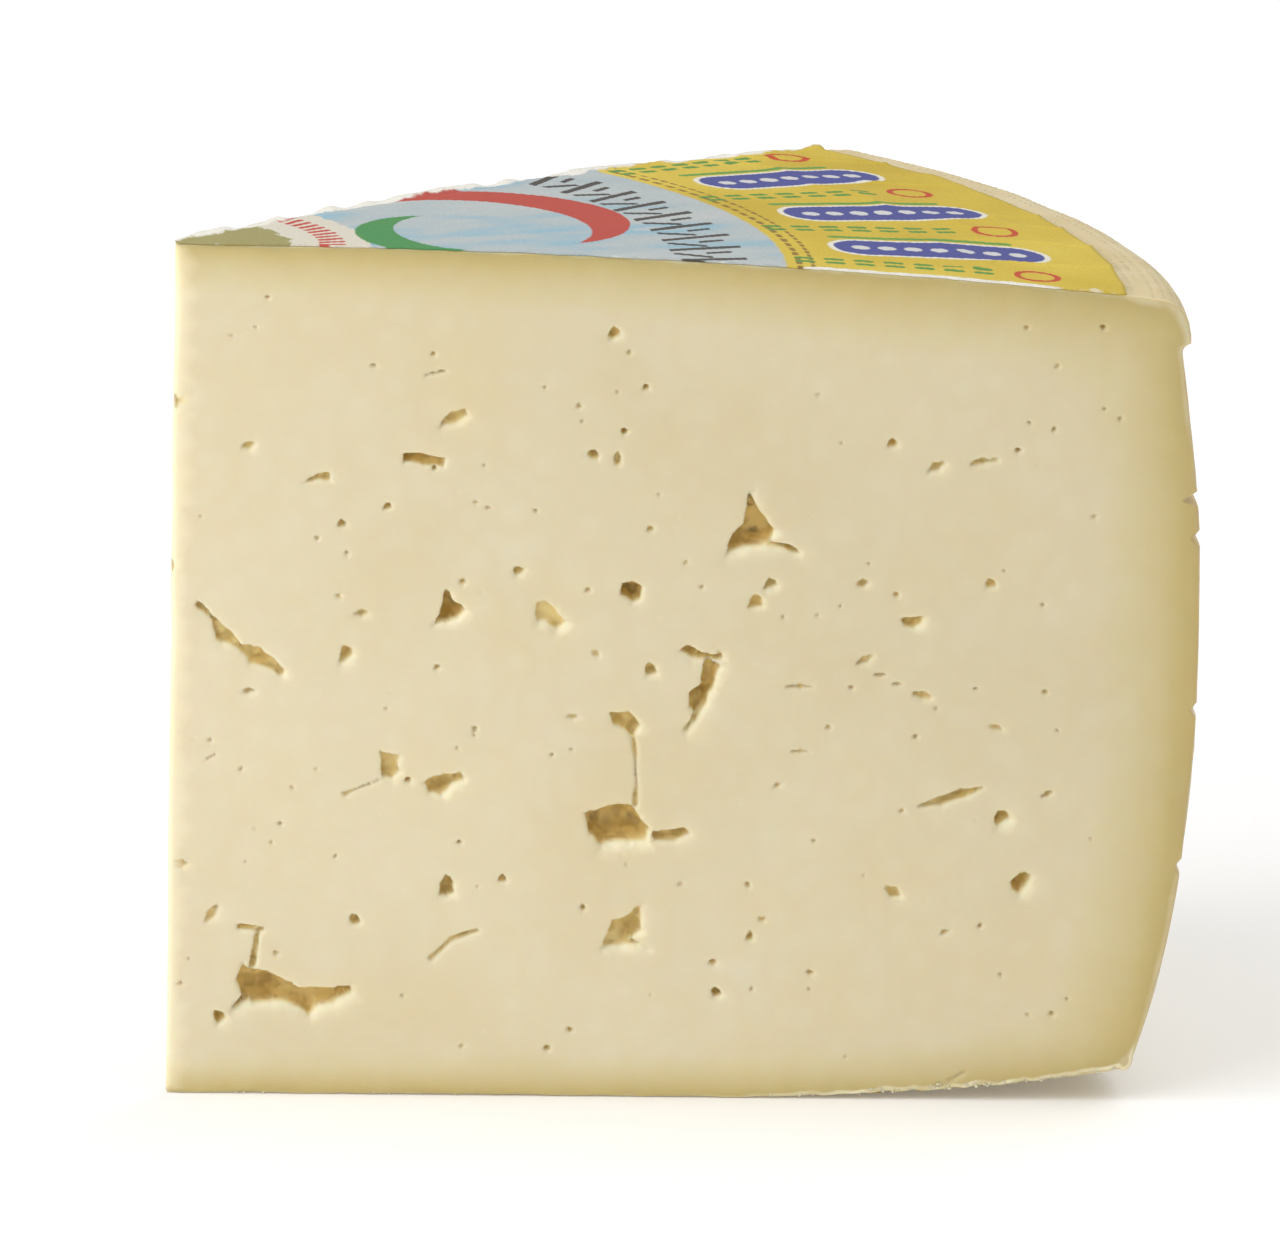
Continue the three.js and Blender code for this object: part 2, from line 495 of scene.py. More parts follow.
@dataclass(frozen=True)
class Wheel:
    """The turned shape of the wheel, as its outline of radius and height.

    Attributes:
        radius: at its widest.
        height: at its axis.
        slice_angle: angle between the two knife cuts.
        foot: the underside is flat out to here.
        lift: and starts to lift off the table about here.
        heel: radius and height of the lifted underside's outer end.
        heel_round: how far out and up the corner above it reaches.
        belly: height at which the side is widest.
        belly_top: height at which it turns inwards again.
        lid_radius: radius of the band above the step that the mould's lid leaves.
        lid_step: where the step starts, its foot and its top.
        lid_depth: how far the step stands in.
        shoulder: radius and height where the rounded rim meets the dome.
        level: the dome stays nearly level out to here.
    """

    radius: float
    height: float
    slice_angle: float
    foot: float = 92.0
    lift: float = 128.0
    heel: Pair = (158.5, 5.2)
    heel_round: Pair = (2.0, 2.4)
    belly: float = 74.0
    belly_top: float = 100.0
    lid_radius: float = 167.4
    lid_step: Triple = (114.5, 126.7, 128.1)
    lid_depth: float = 1.4
    shoulder: Pair = (161.0, 135.7)
    level: float = 84.0
    bars: PressedBars = PressedBars()

    @property
    def half(self) -> float:
        """Angle from the wedge's middle plane to each cut."""
        return self.slice_angle / 2

    def stretches(self) -> list[tuple[Part, Array, float]]:
        """The outline's curves in order.

        Returns:
            For each its part, its three control points and the step between its points.
        """
        heel_top = (self.heel[0] + self.heel_round[0], self.heel[1] + self.heel_round[1])
        start, foot, top = self.lid_step
        waist = (self.radius, self.belly)
        lid_low = (self.lid_radius, start)
        lid_in = (self.lid_radius - self.lid_depth, foot)
        lid_top = (self.lid_radius, top)
        curves = [
            (Part.UNDERSIDE, ((0, 0), (self.foot / 2, 0), (self.foot, 0)), 1.6),
            (Part.UNDERSIDE, ((self.foot, 0), (self.lift, 0), self.heel), 0.7),
            (Part.HEEL, (self.heel, (heel_top[0], self.heel[1]), heel_top), 0.6),
            (Part.SIDE, (heel_top, (self.radius, self.belly / 2), waist), 2.6),
            (Part.SIDE, (waist, (self.radius, self.belly_top), lid_low), 2.6),
            (Part.SIDE, (lid_low, ((lid_low[0] + lid_in[0]) / 2, (start + foot) / 2), lid_in), 2.2),
            (Part.LID_STEP, (lid_in, (lid_in[0] + 0.2, foot + 1), lid_top), 0.4),
            (Part.RIM, (lid_top, (self.lid_radius, self.shoulder[1]), self.shoulder), 0.8),
            (Part.DOME, (self.shoulder, (self.level, self.height), (0, self.height)), 1.9),
        ]
        return [(part, np.array(control, float), step) for part, control, step in curves]

    def outline(self) -> tuple[Array, Array, Array]:
        """Points along the outline, from the axis on the underside to the axis on top.

        Returns:
            The points as radius and height, their outward normals, and their parts' numbers.
        """
        points, parts = [], []
        half = self.bars.width / 2
        grooves = [height + share * half for height, _ in self.bars.rows for share in self.bars.shares]
        for part, (a, b, c), step in self.stretches():
            length = np.linalg.norm(b - a) + np.linalg.norm(c - b)
            share = np.linspace(0, 1, max(3, round(length / step)) + 1)[:, None]
            curve = (1 - share) ** 2 * a + 2 * share * (1 - share) * b + share**2 * c
            if part is Part.SIDE:
                clear = [np.min(np.abs(np.array(grooves) - z)) > 0.5 for z in curve[:, 1]]
                clear[0] = clear[-1] = True
                added = [z for z in grooves if a[1] < z < c[1]]
                at = np.interp(added, curve[:, 1], curve[:, 0])
                curve = np.vstack([curve[clear], np.stack([at, added], axis=1)])
                curve = curve[np.argsort(curve[:, 1])]
            keep = curve[1:] if points else curve
            points.append(keep)
            parts.append(np.full(len(keep), part))
        line = np.vstack(points)
        along = np.gradient(line, axis=0)
        along /= np.linalg.norm(along, axis=1)[:, None]
        normals = np.stack([along[:, 1], -along[:, 0]], axis=1)
        normals[0], normals[-1] = (0, -1), (0, 1)
        return line, normals, np.concatenate(parts)

    def is_side(self, parts: Array) -> Array:
        """Whether each part belongs to the side, from the heel up to the rim."""
        return (parts >= Part.HEEL) & (parts <= Part.RIM)

    def top(self, out: Array) -> Array:
        """Height of the domed top.

        Args:
            out: distance from the axis.

        Returns:
            The height there.
        """
        line, _, parts = self.outline()
        dome = line[parts == Part.DOME][::-1]
        return np.interp(out, dome[:, 0], dome[:, 1])

    def relief(self, angle: Array, line: Array, parts: Array) -> Array:
        """How far the real surface stands proud of the turned outline.

        Args:
            angle: angle round the wheel, one for each point.
            line: the outline's points.
            parts: their parts.

        Returns:
            Height in mm, along the outline's normal.
        """
        along = angle * self.radius
        climb = line[:, 1] - line[:, 0] * 0.3
        swell = 0.30 * Unevenness(34, 11).at(along, climb) + 0.12 * Unevenness(11, 12).at(along, climb)
        bare = self.is_side(parts)
        near_label = 1 - smoothstep(157, 160, line[:, 0])
        swell = np.where(bare, swell, 0.0) * np.where(line[:, 1] > self.lid_step[2], 1 - near_label, 1.0)
        sunk = self.bars.depth(angle, line[:, 1], self.radius, -self.half)
        return swell - np.where(parts == Part.SIDE, sunk, 0.0)


@dataclass
class OnWheel:
    """A piece that was cut from the wheel or lies on it.

    Attributes:
        wheel: the wheel.
        tip: where the frame has the wheel's axis, mm.
    """

    wheel: Wheel
    tip: float

    def placed(self, out: Array, angle: Array, up: Array) -> Array:
        """Points of the frame, mm, from distance from the axis, angle and height."""
        return np.stack([self.tip + out * np.cos(angle), out * np.sin(angle), up + 0 * out], axis=1)


# ---- The openings between the curds, laid bare by the knife ----


class Lie(IntEnum):
    """Which way a cut face looks: the sign of its angle from the wedge's middle plane."""

    NEAR = -1
    FAR = 1


@dataclass(frozen=True)
class Opening:
    """One opening in a cut face, as outlines and tapering strands that run into each other.

    Attributes:
        outlines: each a ring of (out, up).
        strands: each a chain of (out, up, half width).
        deep: how deep it goes.
        reach: distance from its rim to its floor, measured in the cut face.
    """

    outlines: tuple[tuple[Pair, ...], ...]
    strands: tuple[tuple[Triple, ...], ...]
    deep: float
    reach: float
    BLEND: ClassVar[float] = 0.4  # outlines and strands run into each other over this distance

    @classmethod
    def slit(cls, out: float, up: float, long: float, wide: float, lean: float) -> "Opening":
        """A flat gap between two curds, which tapers to both ends.

        Args:
            out: distance of its middle from the axis.
            up: height of its middle.
            long: its length.
            wide: its width.
            lean: turn from level, degrees.

        Returns:
            The opening.
        """
        turn = math.radians(lean)
        run = np.array([math.cos(turn), math.sin(turn)]) * max(0, long - wide) / 2
        middle = (out, up, wide / 2)
        ends = [(out + s * run[0], up + s * run[1], wide / 3.4) for s in (-1, 1)]
        return cls((), ((ends[0], middle, ends[1]),), 0.2 + 0.8 * wide, max(0.3, wide / 2))

    @classmethod
    def corner(cls, out: float, up: float, long: float, wide: float, lean: float) -> "Opening":
        """A hollow where three or four curds meet, with blunt corners and sides that hardly curve.

        Args:
            out: distance of its middle from the axis.
            up: height of its middle.
            long: its length.
            wide: its width.
            lean: turn from level, degrees.

        Returns:
            The opening.
        """
        ring = []
        for turn, far in ((95, 1.0), (150, 0.72), (215, 1.0), (275, 0.7), (330, 1.0), (30, 0.78)):
            bearing = math.radians(turn)
            tip = Vector((math.cos(bearing) * long / 2 * far, math.sin(bearing) * wide / 2 * far))
            turned = Matrix.Rotation(math.radians(lean), 2) @ tip
            ring.append((out + turned.x, up + turned.y))
        return cls((tuple(ring),), (), 0.6 + 0.75 * min(long, wide), max(0.35, min(long, wide) * 0.38))

    def distance(self, points: Array) -> Array:
        """Distance of points from the rim, negative inside the opening.

        Args:
            points: (n, 2) places in the cut face.

        Returns:
            Distance in mm.
        """
        total = np.full(len(points), 1e3)
        gaps = [ring_distance(points, np.array(ring, float)) - 0.1 for ring in self.outlines]
        for strand in self.strands:
            for (ax, ay, ar), (bx, by, br) in zip(strand[:-1], strand[1:]):
                a, run = np.array([ax, ay]), np.array([bx - ax, by - ay])
                share = np.clip(((points - a) @ run) / max(1e-9, run @ run), 0, 1)
                gaps.append(
                    np.linalg.norm(points - a - share[:, None] * run, axis=1) - (ar + (br - ar) * share)
                )
        for gap in gaps:
            mix = np.clip(0.5 + 0.5 * (total - gap) / self.BLEND, 0, 1)
            total = total * (1 - mix) + gap * mix - self.BLEND * mix * (1 - mix) * 0.5
        return total

    def box(self) -> tuple[Array, Array]:
        """Find the box round the opening in the cut face.

        Returns:
            Its lowest and its highest corner.
        """
        knots = [knot for strand in self.strands for knot in strand]
        knots += [(*corner, 0.0) for ring in self.outlines for corner in ring]
        known = np.array(knots)
        return (known[:, :2] - known[:, 2:]).min(axis=0), (known[:, :2] + known[:, 2:]).max(axis=0)


@dataclass
class Openings:
    """All the openings of one cut face.

    Attributes:
        each: the openings.
        ragged: unevenness of the rims, broad and fine.
    """

    each: list[Opening]
    ragged: tuple[Unevenness, Unevenness] = (Unevenness(1.9, 21), Unevenness(0.8, 22))
    SIGHT: ClassVar[float] = 4.0  # openings are felt this far from their rims

    def field(self, points: Array) -> tuple[Array, Array]:
        """Find the nearest opening of each point.

        Args:
            points: (n, 2) places in the cut face.

        Returns:
            The distance from its rim, negative inside, and its number, or -1 where none is near.
        """
        nearest = np.full(len(points), self.SIGHT)
        which = np.full(len(points), -1)
        wobble = 0.20 * self.ragged[0].at(*points.T) + 0.12 * self.ragged[1].at(*points.T)
        bend = [0.42 * Unevenness(2.9, seed).at(*points.T) for seed in (23, 24)]
        for number, opening in enumerate(self.each):
            low, high = opening.box()
            near = ((points > low - self.SIGHT) & (points < high + self.SIGHT)).all(axis=1)
            index = np.flatnonzero(near)
            bent = points[index] + np.stack([b[index] for b in bend], axis=1) * min(1.0, opening.reach)
            gap = opening.distance(bent) + wobble[index] * min(1.0, opening.reach)
            closer = gap < nearest[index]
            nearest[index[closer]] = gap[closer]
            which[index[closer]] = number
        return nearest, which

    def slope(self, points: Array) -> Array:
        """Direction away from the nearest opening.

        Args:
            points: (n, 2) places in the cut face.

        Returns:
            A unit vector for each.
        """
        step = 0.08
        sides = [
            self.field(points + np.array(offset))[0] - self.field(points - np.array(offset))[0]
            for offset in ((step, 0), (0, step))
        ]
        away = np.stack(sides, axis=1)
        return away / np.maximum(1e-6, np.linalg.norm(away, axis=1))[:, None]


def near_openings() -> Openings:
    """The openings of the near cut face, the larger ones listed and pinholes in between.

    Returns:
        The openings. A slit or a corner is out, up, long, wide and lean.
    """
    slits = [
        (10.5, 128, 3.7, 0.7, 0), (34, 123, 2, 0.8, 0), (44, 122, 4, 0.9, 15), (53, 99.5, 1.6, 0.7, -20),
        (13.5, 109.5, 2.8, 1.5, 15), (51, 100.5, 1.3, 0.7, 0), (106.5, 119, 1.7, 0.6, 0),
        (126, 107, 4, 1.6, 30), (134, 108, 5, 1.3, 8), (139.5, 110, 1.8, 1, 0), (152, 99, 1.5, 0.8, 0),
        (14, 68, 3, 1.3, 5), (8, 57, 3, 0.6, 35), (79.5, 96, 2, 1, 20), (71, 75, 2, 1, -35),
        (104.5, 70, 5.3, 1, 0), (67.5, 64.5, 2.4, 1, 0), (105, 59, 3.7, 0.8, 0), (101, 53, 2.4, 1, 30),
        (99, 30.5, 2, 1, 0), (91, 23, 2.4, 1.3, 0), (107, 21.5, 2, 1, 0), (85.5, 36.5, 1.8, 0.8, 25),
        (69.5, 32, 1.4, 1, 0), (114.5, 87.5, 2.7, 1.3, 10), (120, 85.5, 1.7, 1, 0),
        (115, 74.5, 3.4, 1.3, 35), (117.5, 72, 2.4, 0.8, 0), (120.5, 70.5, 2.4, 0.8, 0),
        (124.5, 68.5, 4, 1.4, -15), (127, 66.5, 1.7, 0.8, 0), (123.5, 61.5, 1.4, 0.8, 0),
        (137, 63.5, 3, 1.3, -20), (121.5, 49, 1.4, 0.8, 0), (145.5, 52, 2.7, 1, 25), (3.5, 39, 3, 1.3, 0),
        (8.5, 30.5, 4, 1.4, 50), (120.5, 35.5, 3.8, 1.8, -35), (129, 28.5, 2.4, 1, 30),
        (32.5, 81.5, 2.7, 1.3, 5), (1.6, 116.7, 2.2, 1.3, 10), (1.0, 89.5, 1.6, 1.0, 20),
        (64, 8, 1.8, 1, 20), (49, 87, 1.4, 1.1, 40), (28.5, 84.5, 1.4, 1.0, 0), (40.5, 53.4, 1.9, 1.4, 0),
        (16.5, 134.5, 1.2, 0.7, 0),
    ]
    corners = [
        (73, 129, 2.2, 2.1, 10), (70, 108.5, 2.4, 1.5, -30), (74, 107.5, 1.5, 2.7, 0),
        (119, 111, 2.0, 1.8, 0), (30, 74.5, 2.5, 2.6, 20), (99.5, 87, 2.8, 2.3, 10),
        (36.5, 99.5, 1.5, 1.3, 0), (29, 96.5, 1.5, 1.5, 0), (97, 84, 2.0, 2.6, 0), (80, 72.5, 2.2, 3, 15),
        (58, 89, 2.0, 2.0, 40), (56, 37, 1.7, 1.7, 0), (97, 27.5, 1.6, 2, 0), (91.5, 18, 2.0, 2.0, 20),
        (123, 81, 4.0, 2.4, 180), (135.5, 87.5, 2.2, 1.6, 0), (138, 48, 3.6, 3.3, 20),
        (141.5, 37, 3.6, 3.3, 60), (32, 29.5, 1.9, 2.3, 0), (10, 12.7, 2.2, 2.4, 30),
        (47, 35.3, 2.9, 4.2, 0), (78.5, 120, 1.4, 1.4, 0), (75, 112.5, 1.3, 1.3, 50),
        (44, 106, 1.2, 1.0, 0),
    ]
    # Each is its depth, the reach of its walls, its outlines and its strands.
    ragged = [
        (2.6, 0.6, (((39, 108.5), (42, 108.3), (45.9, 107.8), (45.6, 106.4), (42, 106.6), (39.1,
         106.9)),), ()),
        (1.6, 0.8, (((45.2, 113.8), (46.4, 115.3), (49, 116), (49.3, 115), (47, 113.5), (45, 113.2)),),
         ()),
        (1.7, 0.7, (((22.6, 103.6), (24.8, 105), (26.5, 105.1), (26.9, 103.7), (25, 104)),), ()),
        (4.0, 1.0, (((46.6, 85.2), (49.4, 81.8), (48.4, 80.7), (44.4, 79.8), (45.3, 82.1)),), ()),
        (1.7, 1.5, (((60.7, 83.8), (62.4, 84.2), (64.2, 83), (66, 80.2), (64.8, 79.2), (63, 80.5), (61.6,
         80.3)),), ()),
        (3.2, 0.7, (((75.1, 87.2), (76.8, 87.3), (78.6, 86), (78.2, 84.4), (76.8, 83.8), (74.8, 85.4)),),
         ()),
        (5.0, 1.5, (((95.9, 102.4), (97, 99.4), (99.6, 96.4), (98.6, 93.2), (96, 93), (92, 92.4), (92.4,
         94.2), (94.8, 97.4)),), (((98, 93.8, 0.7), (104, 92.7, 0.3)),)),
        (3.6, 1.1, (((84.2, 76), (86.4, 76.8), (88.2, 75.6), (91.2, 75.4), (91.4, 74.3), (87, 74.6)),
         ((88.8, 74.4), (91.2, 73), (89.8, 69), (89.2, 66.8), (87.6, 64.6), (86.2, 66), (86, 68.6), (88,
         70))), (((87.4, 65, 0.5), (85.6, 62, 0.2)),)),
        (2.4, 0.9, (((73.3, 65.1), (76.2, 65.3), (78.4, 62.8), (77.6, 60.4), (75.8, 62.2), (73.8,
         63.2)),), ()),
        (0.9, 0.5, (), (((77.5, 60.6, 0.5), (77.9, 56, 0.35), (78.2, 53, 0.35), (77.8, 49.6, 0.6)),)),
        (5.5, 1.9, (((69.8, 48.2), (73.4, 49.2), (76.8, 49.5), (78.6, 47.6), (80, 45.6), (79.8, 43.4),
         (72.4, 42.3), (70.2, 44.4)),), ()),
        (2.2, 0.8, (((80.9, 45.2), (85.7, 45.8), (86.6, 45), (84.4, 43.4), (81, 43.7)),), ()),
        (1.9, 1.2, (((72.6, 25.6), (74.2, 29.7), (77.6, 31), (79.1, 32.3), (79.2, 28.4), (77.5, 26.6),
         (79.9, 25.6)),), ()),
        (1.4, 0.5, (), (((13, 28.1, 0.5), (16.7, 27.9, 0.6)), ((16.2, 27.6, 0.5), (15.3, 21.6, 0.6)))),
        (4.4, 1.6, (((13, 19.2), (13.6, 22), (15.6, 21.2), (22.5, 18), (26.8, 17.8), (31, 18.2), (31.4,
         17.2), (28.8, 15.4), (26.8, 15), (24.8, 13.6), (22.8, 15), (16, 15.2), (13.9, 16.4)),), (((14.4,
         16, 0.8), (12, 14.2, 0.25)),)),
        (1.9, 0.9, (((35.9, 58), (38.9, 57.6), (38.5, 56), (39, 54.8), (37.8, 53.4), (36, 53.9)),), ()),
        (2.6, 1.0, (((42.6, 53.2), (46, 54.4), (48.8, 54.9), (49.4, 53.7), (47.5, 52.5), (45.8, 50.9),
         (43.8, 51.5)),), ()),
        (0.8, 0.4, (), (((30.3, 51, 0.6), (32, 51.8, 0.25), (35.6, 53.6, 0.3)),)),
        (1.0, 0.5, (), (((44.6, 23.2, 0.4), (47.8, 26.6, 0.6), (52, 28, 0.45)),)),
        (1.6, 0.6, (), (((124.4, 50.1, 0.25), (128, 50.8, 0.8), (131.6, 52, 0.9), (134.5, 53, 0.3)),)),
        (2.2, 0.9, (), (((5.4, 82.4, 0.5), (8.6, 80, 0.5), (9.9, 77.6, 1.2), (12.4, 75.4, 0.5), (15.4,
         74, 1.5), (19.4, 71.6, 0.9)),)),
        (0.6, 0.5, (), (((127.4, 1.8, 0.15), (130, 3.2, 0.42), (132.6, 4.9, 0.25)),)),
    ]
    clefts = [Opening(rings, strands, deep, reach) for deep, reach, rings, strands in ragged]
    made = clefts + [Opening.slit(*s) for s in slits] + [Opening.corner(*c) for c in corners]
    return Openings(made + pinholes(made, 90, 31))


def pinholes(taken: list[Opening], count: int, seed: int) -> list[Opening]:
    """Scatter pinholes clear of the other openings.

    Args:
        taken: openings that are there already.
        count: how many pinholes.
        seed: which places.

    Returns:
        The pinholes.
    """
    rng = np.random.default_rng(seed)
    others = Openings(taken)
    made: list[Opening] = []
    while len(made) < count:
        place = rng.uniform((3, 6), (158, 133), 2)
        size = 0.45 + 0.6 * rng.uniform() ** 2
        lean = rng.uniform(-40, 60)
        if others.field(place[None])[0][0] > 2.2:
            made.append(Opening.slit(place[0], place[1], size * rng.uniform(1.0, 1.9), size, lean))
    return made


def far_openings() -> Openings:
    """The openings of the far cut face: the same kinds, in places of their own.

    Returns:
        The openings.
    """
    rng = np.random.default_rng(47)
    made: list[Opening] = []
    for kind in [wandering] * 9 + [Opening.corner] * 27 + [Opening.slit] * 44:
        while True:
            out, up = rng.uniform((6, 9), (152, 130), 2)
            if not made or Openings(made).field(np.array([[out, up]]))[0][0] > 3.5:
                break
        if kind is wandering:
            made.append(wandering(rng, out, up))
        elif kind == Opening.corner:
            long = rng.uniform(1.8, 4.8)
            made.append(kind(out, up, long, long * rng.uniform(0.7, 1.1), rng.uniform(0, 360)))
        else:
            long = rng.uniform(1.5, 5.2)
            made.append(kind(out, up, long, rng.uniform(0.7, 1.6), rng.normal(8, 20)))
    return Openings(made + pinholes(made, 40, 48))


def wandering(rng: np.random.Generator, out: float, up: float) -> Opening:
    """A ragged cleft that wanders from a place, with one side branch.

    Args:
        rng: source of its turns and sizes.
        out: the place's distance from the axis.
        up: its height.

    Returns:
        The opening.
    """
    knots = [(out, up, rng.uniform(0.3, 0.6))]
    heading = rng.uniform(0, math.tau)
    for _ in range(3):
        heading += rng.normal(0, 0.7)
        x, y, _ = knots[-1]
        stride = rng.uniform(1.6, 3.4)
        ahead = (x + math.cos(heading) * stride, y + math.sin(heading) * stride)
        knots.append((*ahead, rng.uniform(0.7, 1.8)))
    x, y, _ = knots[2]
    aside = heading + rng.choice([-1, 1]) * 1.4
    branch = ((x, y, 1.2), (x + math.cos(aside) * 3.2, y + math.sin(aside) * 3.2, 0.35))
    bearings = np.sort(rng.uniform(0, math.tau, 7))
    room = tuple(
        (x + math.cos(b) * rng.uniform(1.4, 3.4), y + math.sin(b) * rng.uniform(1.2, 2.8)) for b in bearings
    )
    knots[-1] = (*knots[-1][:2], 0.4)
    deep, reach = rng.uniform(2.2, 5.2), rng.uniform(0.9, 1.7)
    return Opening((room,), (tuple(knots), branch), deep, reach)


# ---- The cheese ----


@dataclass
class CutFace:
    """One knife-cut face: its points, triangulated, with the openings sunk into it.

    Attributes:
        wheel: the wheel that was cut.
        lie: which of the two cuts.
        openings: what the knife laid bare.
        finest: spacing of the points at an opening's rim.
        drag: the way that the knife moves across the face.
        edge_room: the lattice keeps this far from the outline.
    """

    wheel: Wheel
    lie: Lie
    openings: Openings
    finest: float = 0.36
    drag: Pair = (0.5, -0.86)
    edge_room: float = 1.5

    def spacing(self, distance: Array) -> Array:
        """Wanted spacing of points at a distance from an opening's rim."""
        return self.finest + 0.62 * np.maximum(0, np.abs(distance) - 0.45)

    def lattice(self, margin: Any) -> Array:
        """Points inside the face, dense at the openings and sparse elsewhere.

        Args:
            margin: function from points to their distance inside the face's outline.

        Returns:
            (n, 2) points.
        """
        corner = np.array([self.wheel.radius, self.wheel.height])
        points, level = hexagonal(np.zeros(2), corner, self.finest)
        inside = margin(points) > self.edge_room
        points, level = points[inside], level[inside]
        gap, _ = self.openings.field(points)
        keep = self.finest * 2.0**level >= self.spacing(gap) * 0.9
        keep |= level == 3
        points, gap = points[keep], gap[keep]
        snap = np.abs(gap) < self.finest * 0.45
        points[snap] -= self.openings.slope(points[snap]) * gap[snap][:, None]
        return points

    def sunk(self, points: Array) -> tuple[Array, Array, Array]:
        """Shape of the openings.

        The knife drags the paste down and outwards as it passes. That leaves the upper edge of an opening
        crisp and slightly overhanging, and draws the lower edge over into a soft lip.

        Args:
            points: (n, 2) places in the face.

        Returns:
            The places moved within the face, their depth under it, and how pale the lower lip is painted
            there: a painted highlight where it turns up to the light.
        """
        gap, which = self.openings.field(points)
        deep = np.array([o.deep for o in self.openings.each] + [0.0])[which]
        reach = np.array([o.reach for o in self.openings.each] + [1.0])[which]
        away = self.openings.slope(points)
        drag = np.clip(0.5 + 0.5 * (away @ np.array(self.drag)), 0, 1)
        size = np.clip(reach, 0.2, 1.4)
        lip_reach = (0.25 + 1.45 * drag**1.5) * size
        lip_sink = (0.05 + 0.66 * drag**1.5) * size * np.minimum(1, size + 0.25)
        lip = lip_sink * np.clip(1 - np.maximum(gap, 0) / lip_reach, 0, 1) ** 2
        inward = np.clip(-gap / reach * (1 - 0.45 * drag), 0, 1)
        wall = 1 - (1 - inward) ** (3.4 - 1.7 * drag)
        curd = Unevenness(2.3, 61 + self.lie).at(*points.T)
        curd += 0.4 * Unevenness(1.0, 63).at(*points.T)
        floor = deep * wall * (1 + 0.55 * curd * smoothstep(0.25, 1.0, inward))
        undercut = 0.75 * size * (1 - drag) * np.sin(np.pi * np.clip(inward * 1.1, 0, 1))
        undercut *= np.minimum(1, deep / 3)
        moved = points + away * undercut[:, None]
        # Painted highlight: the lower lip, which turns up to the light, is painted pale by this share.
        drawn = drag**2 * np.minimum(1, size**2) * smoothstep(lip_reach, 0.0, gap) ** 1.6
        drawn = 0.85 * drawn * smoothstep(-0.5, -0.1, gap)
        return moved, np.where(gap < 0, lip_sink + floor, lip), drawn


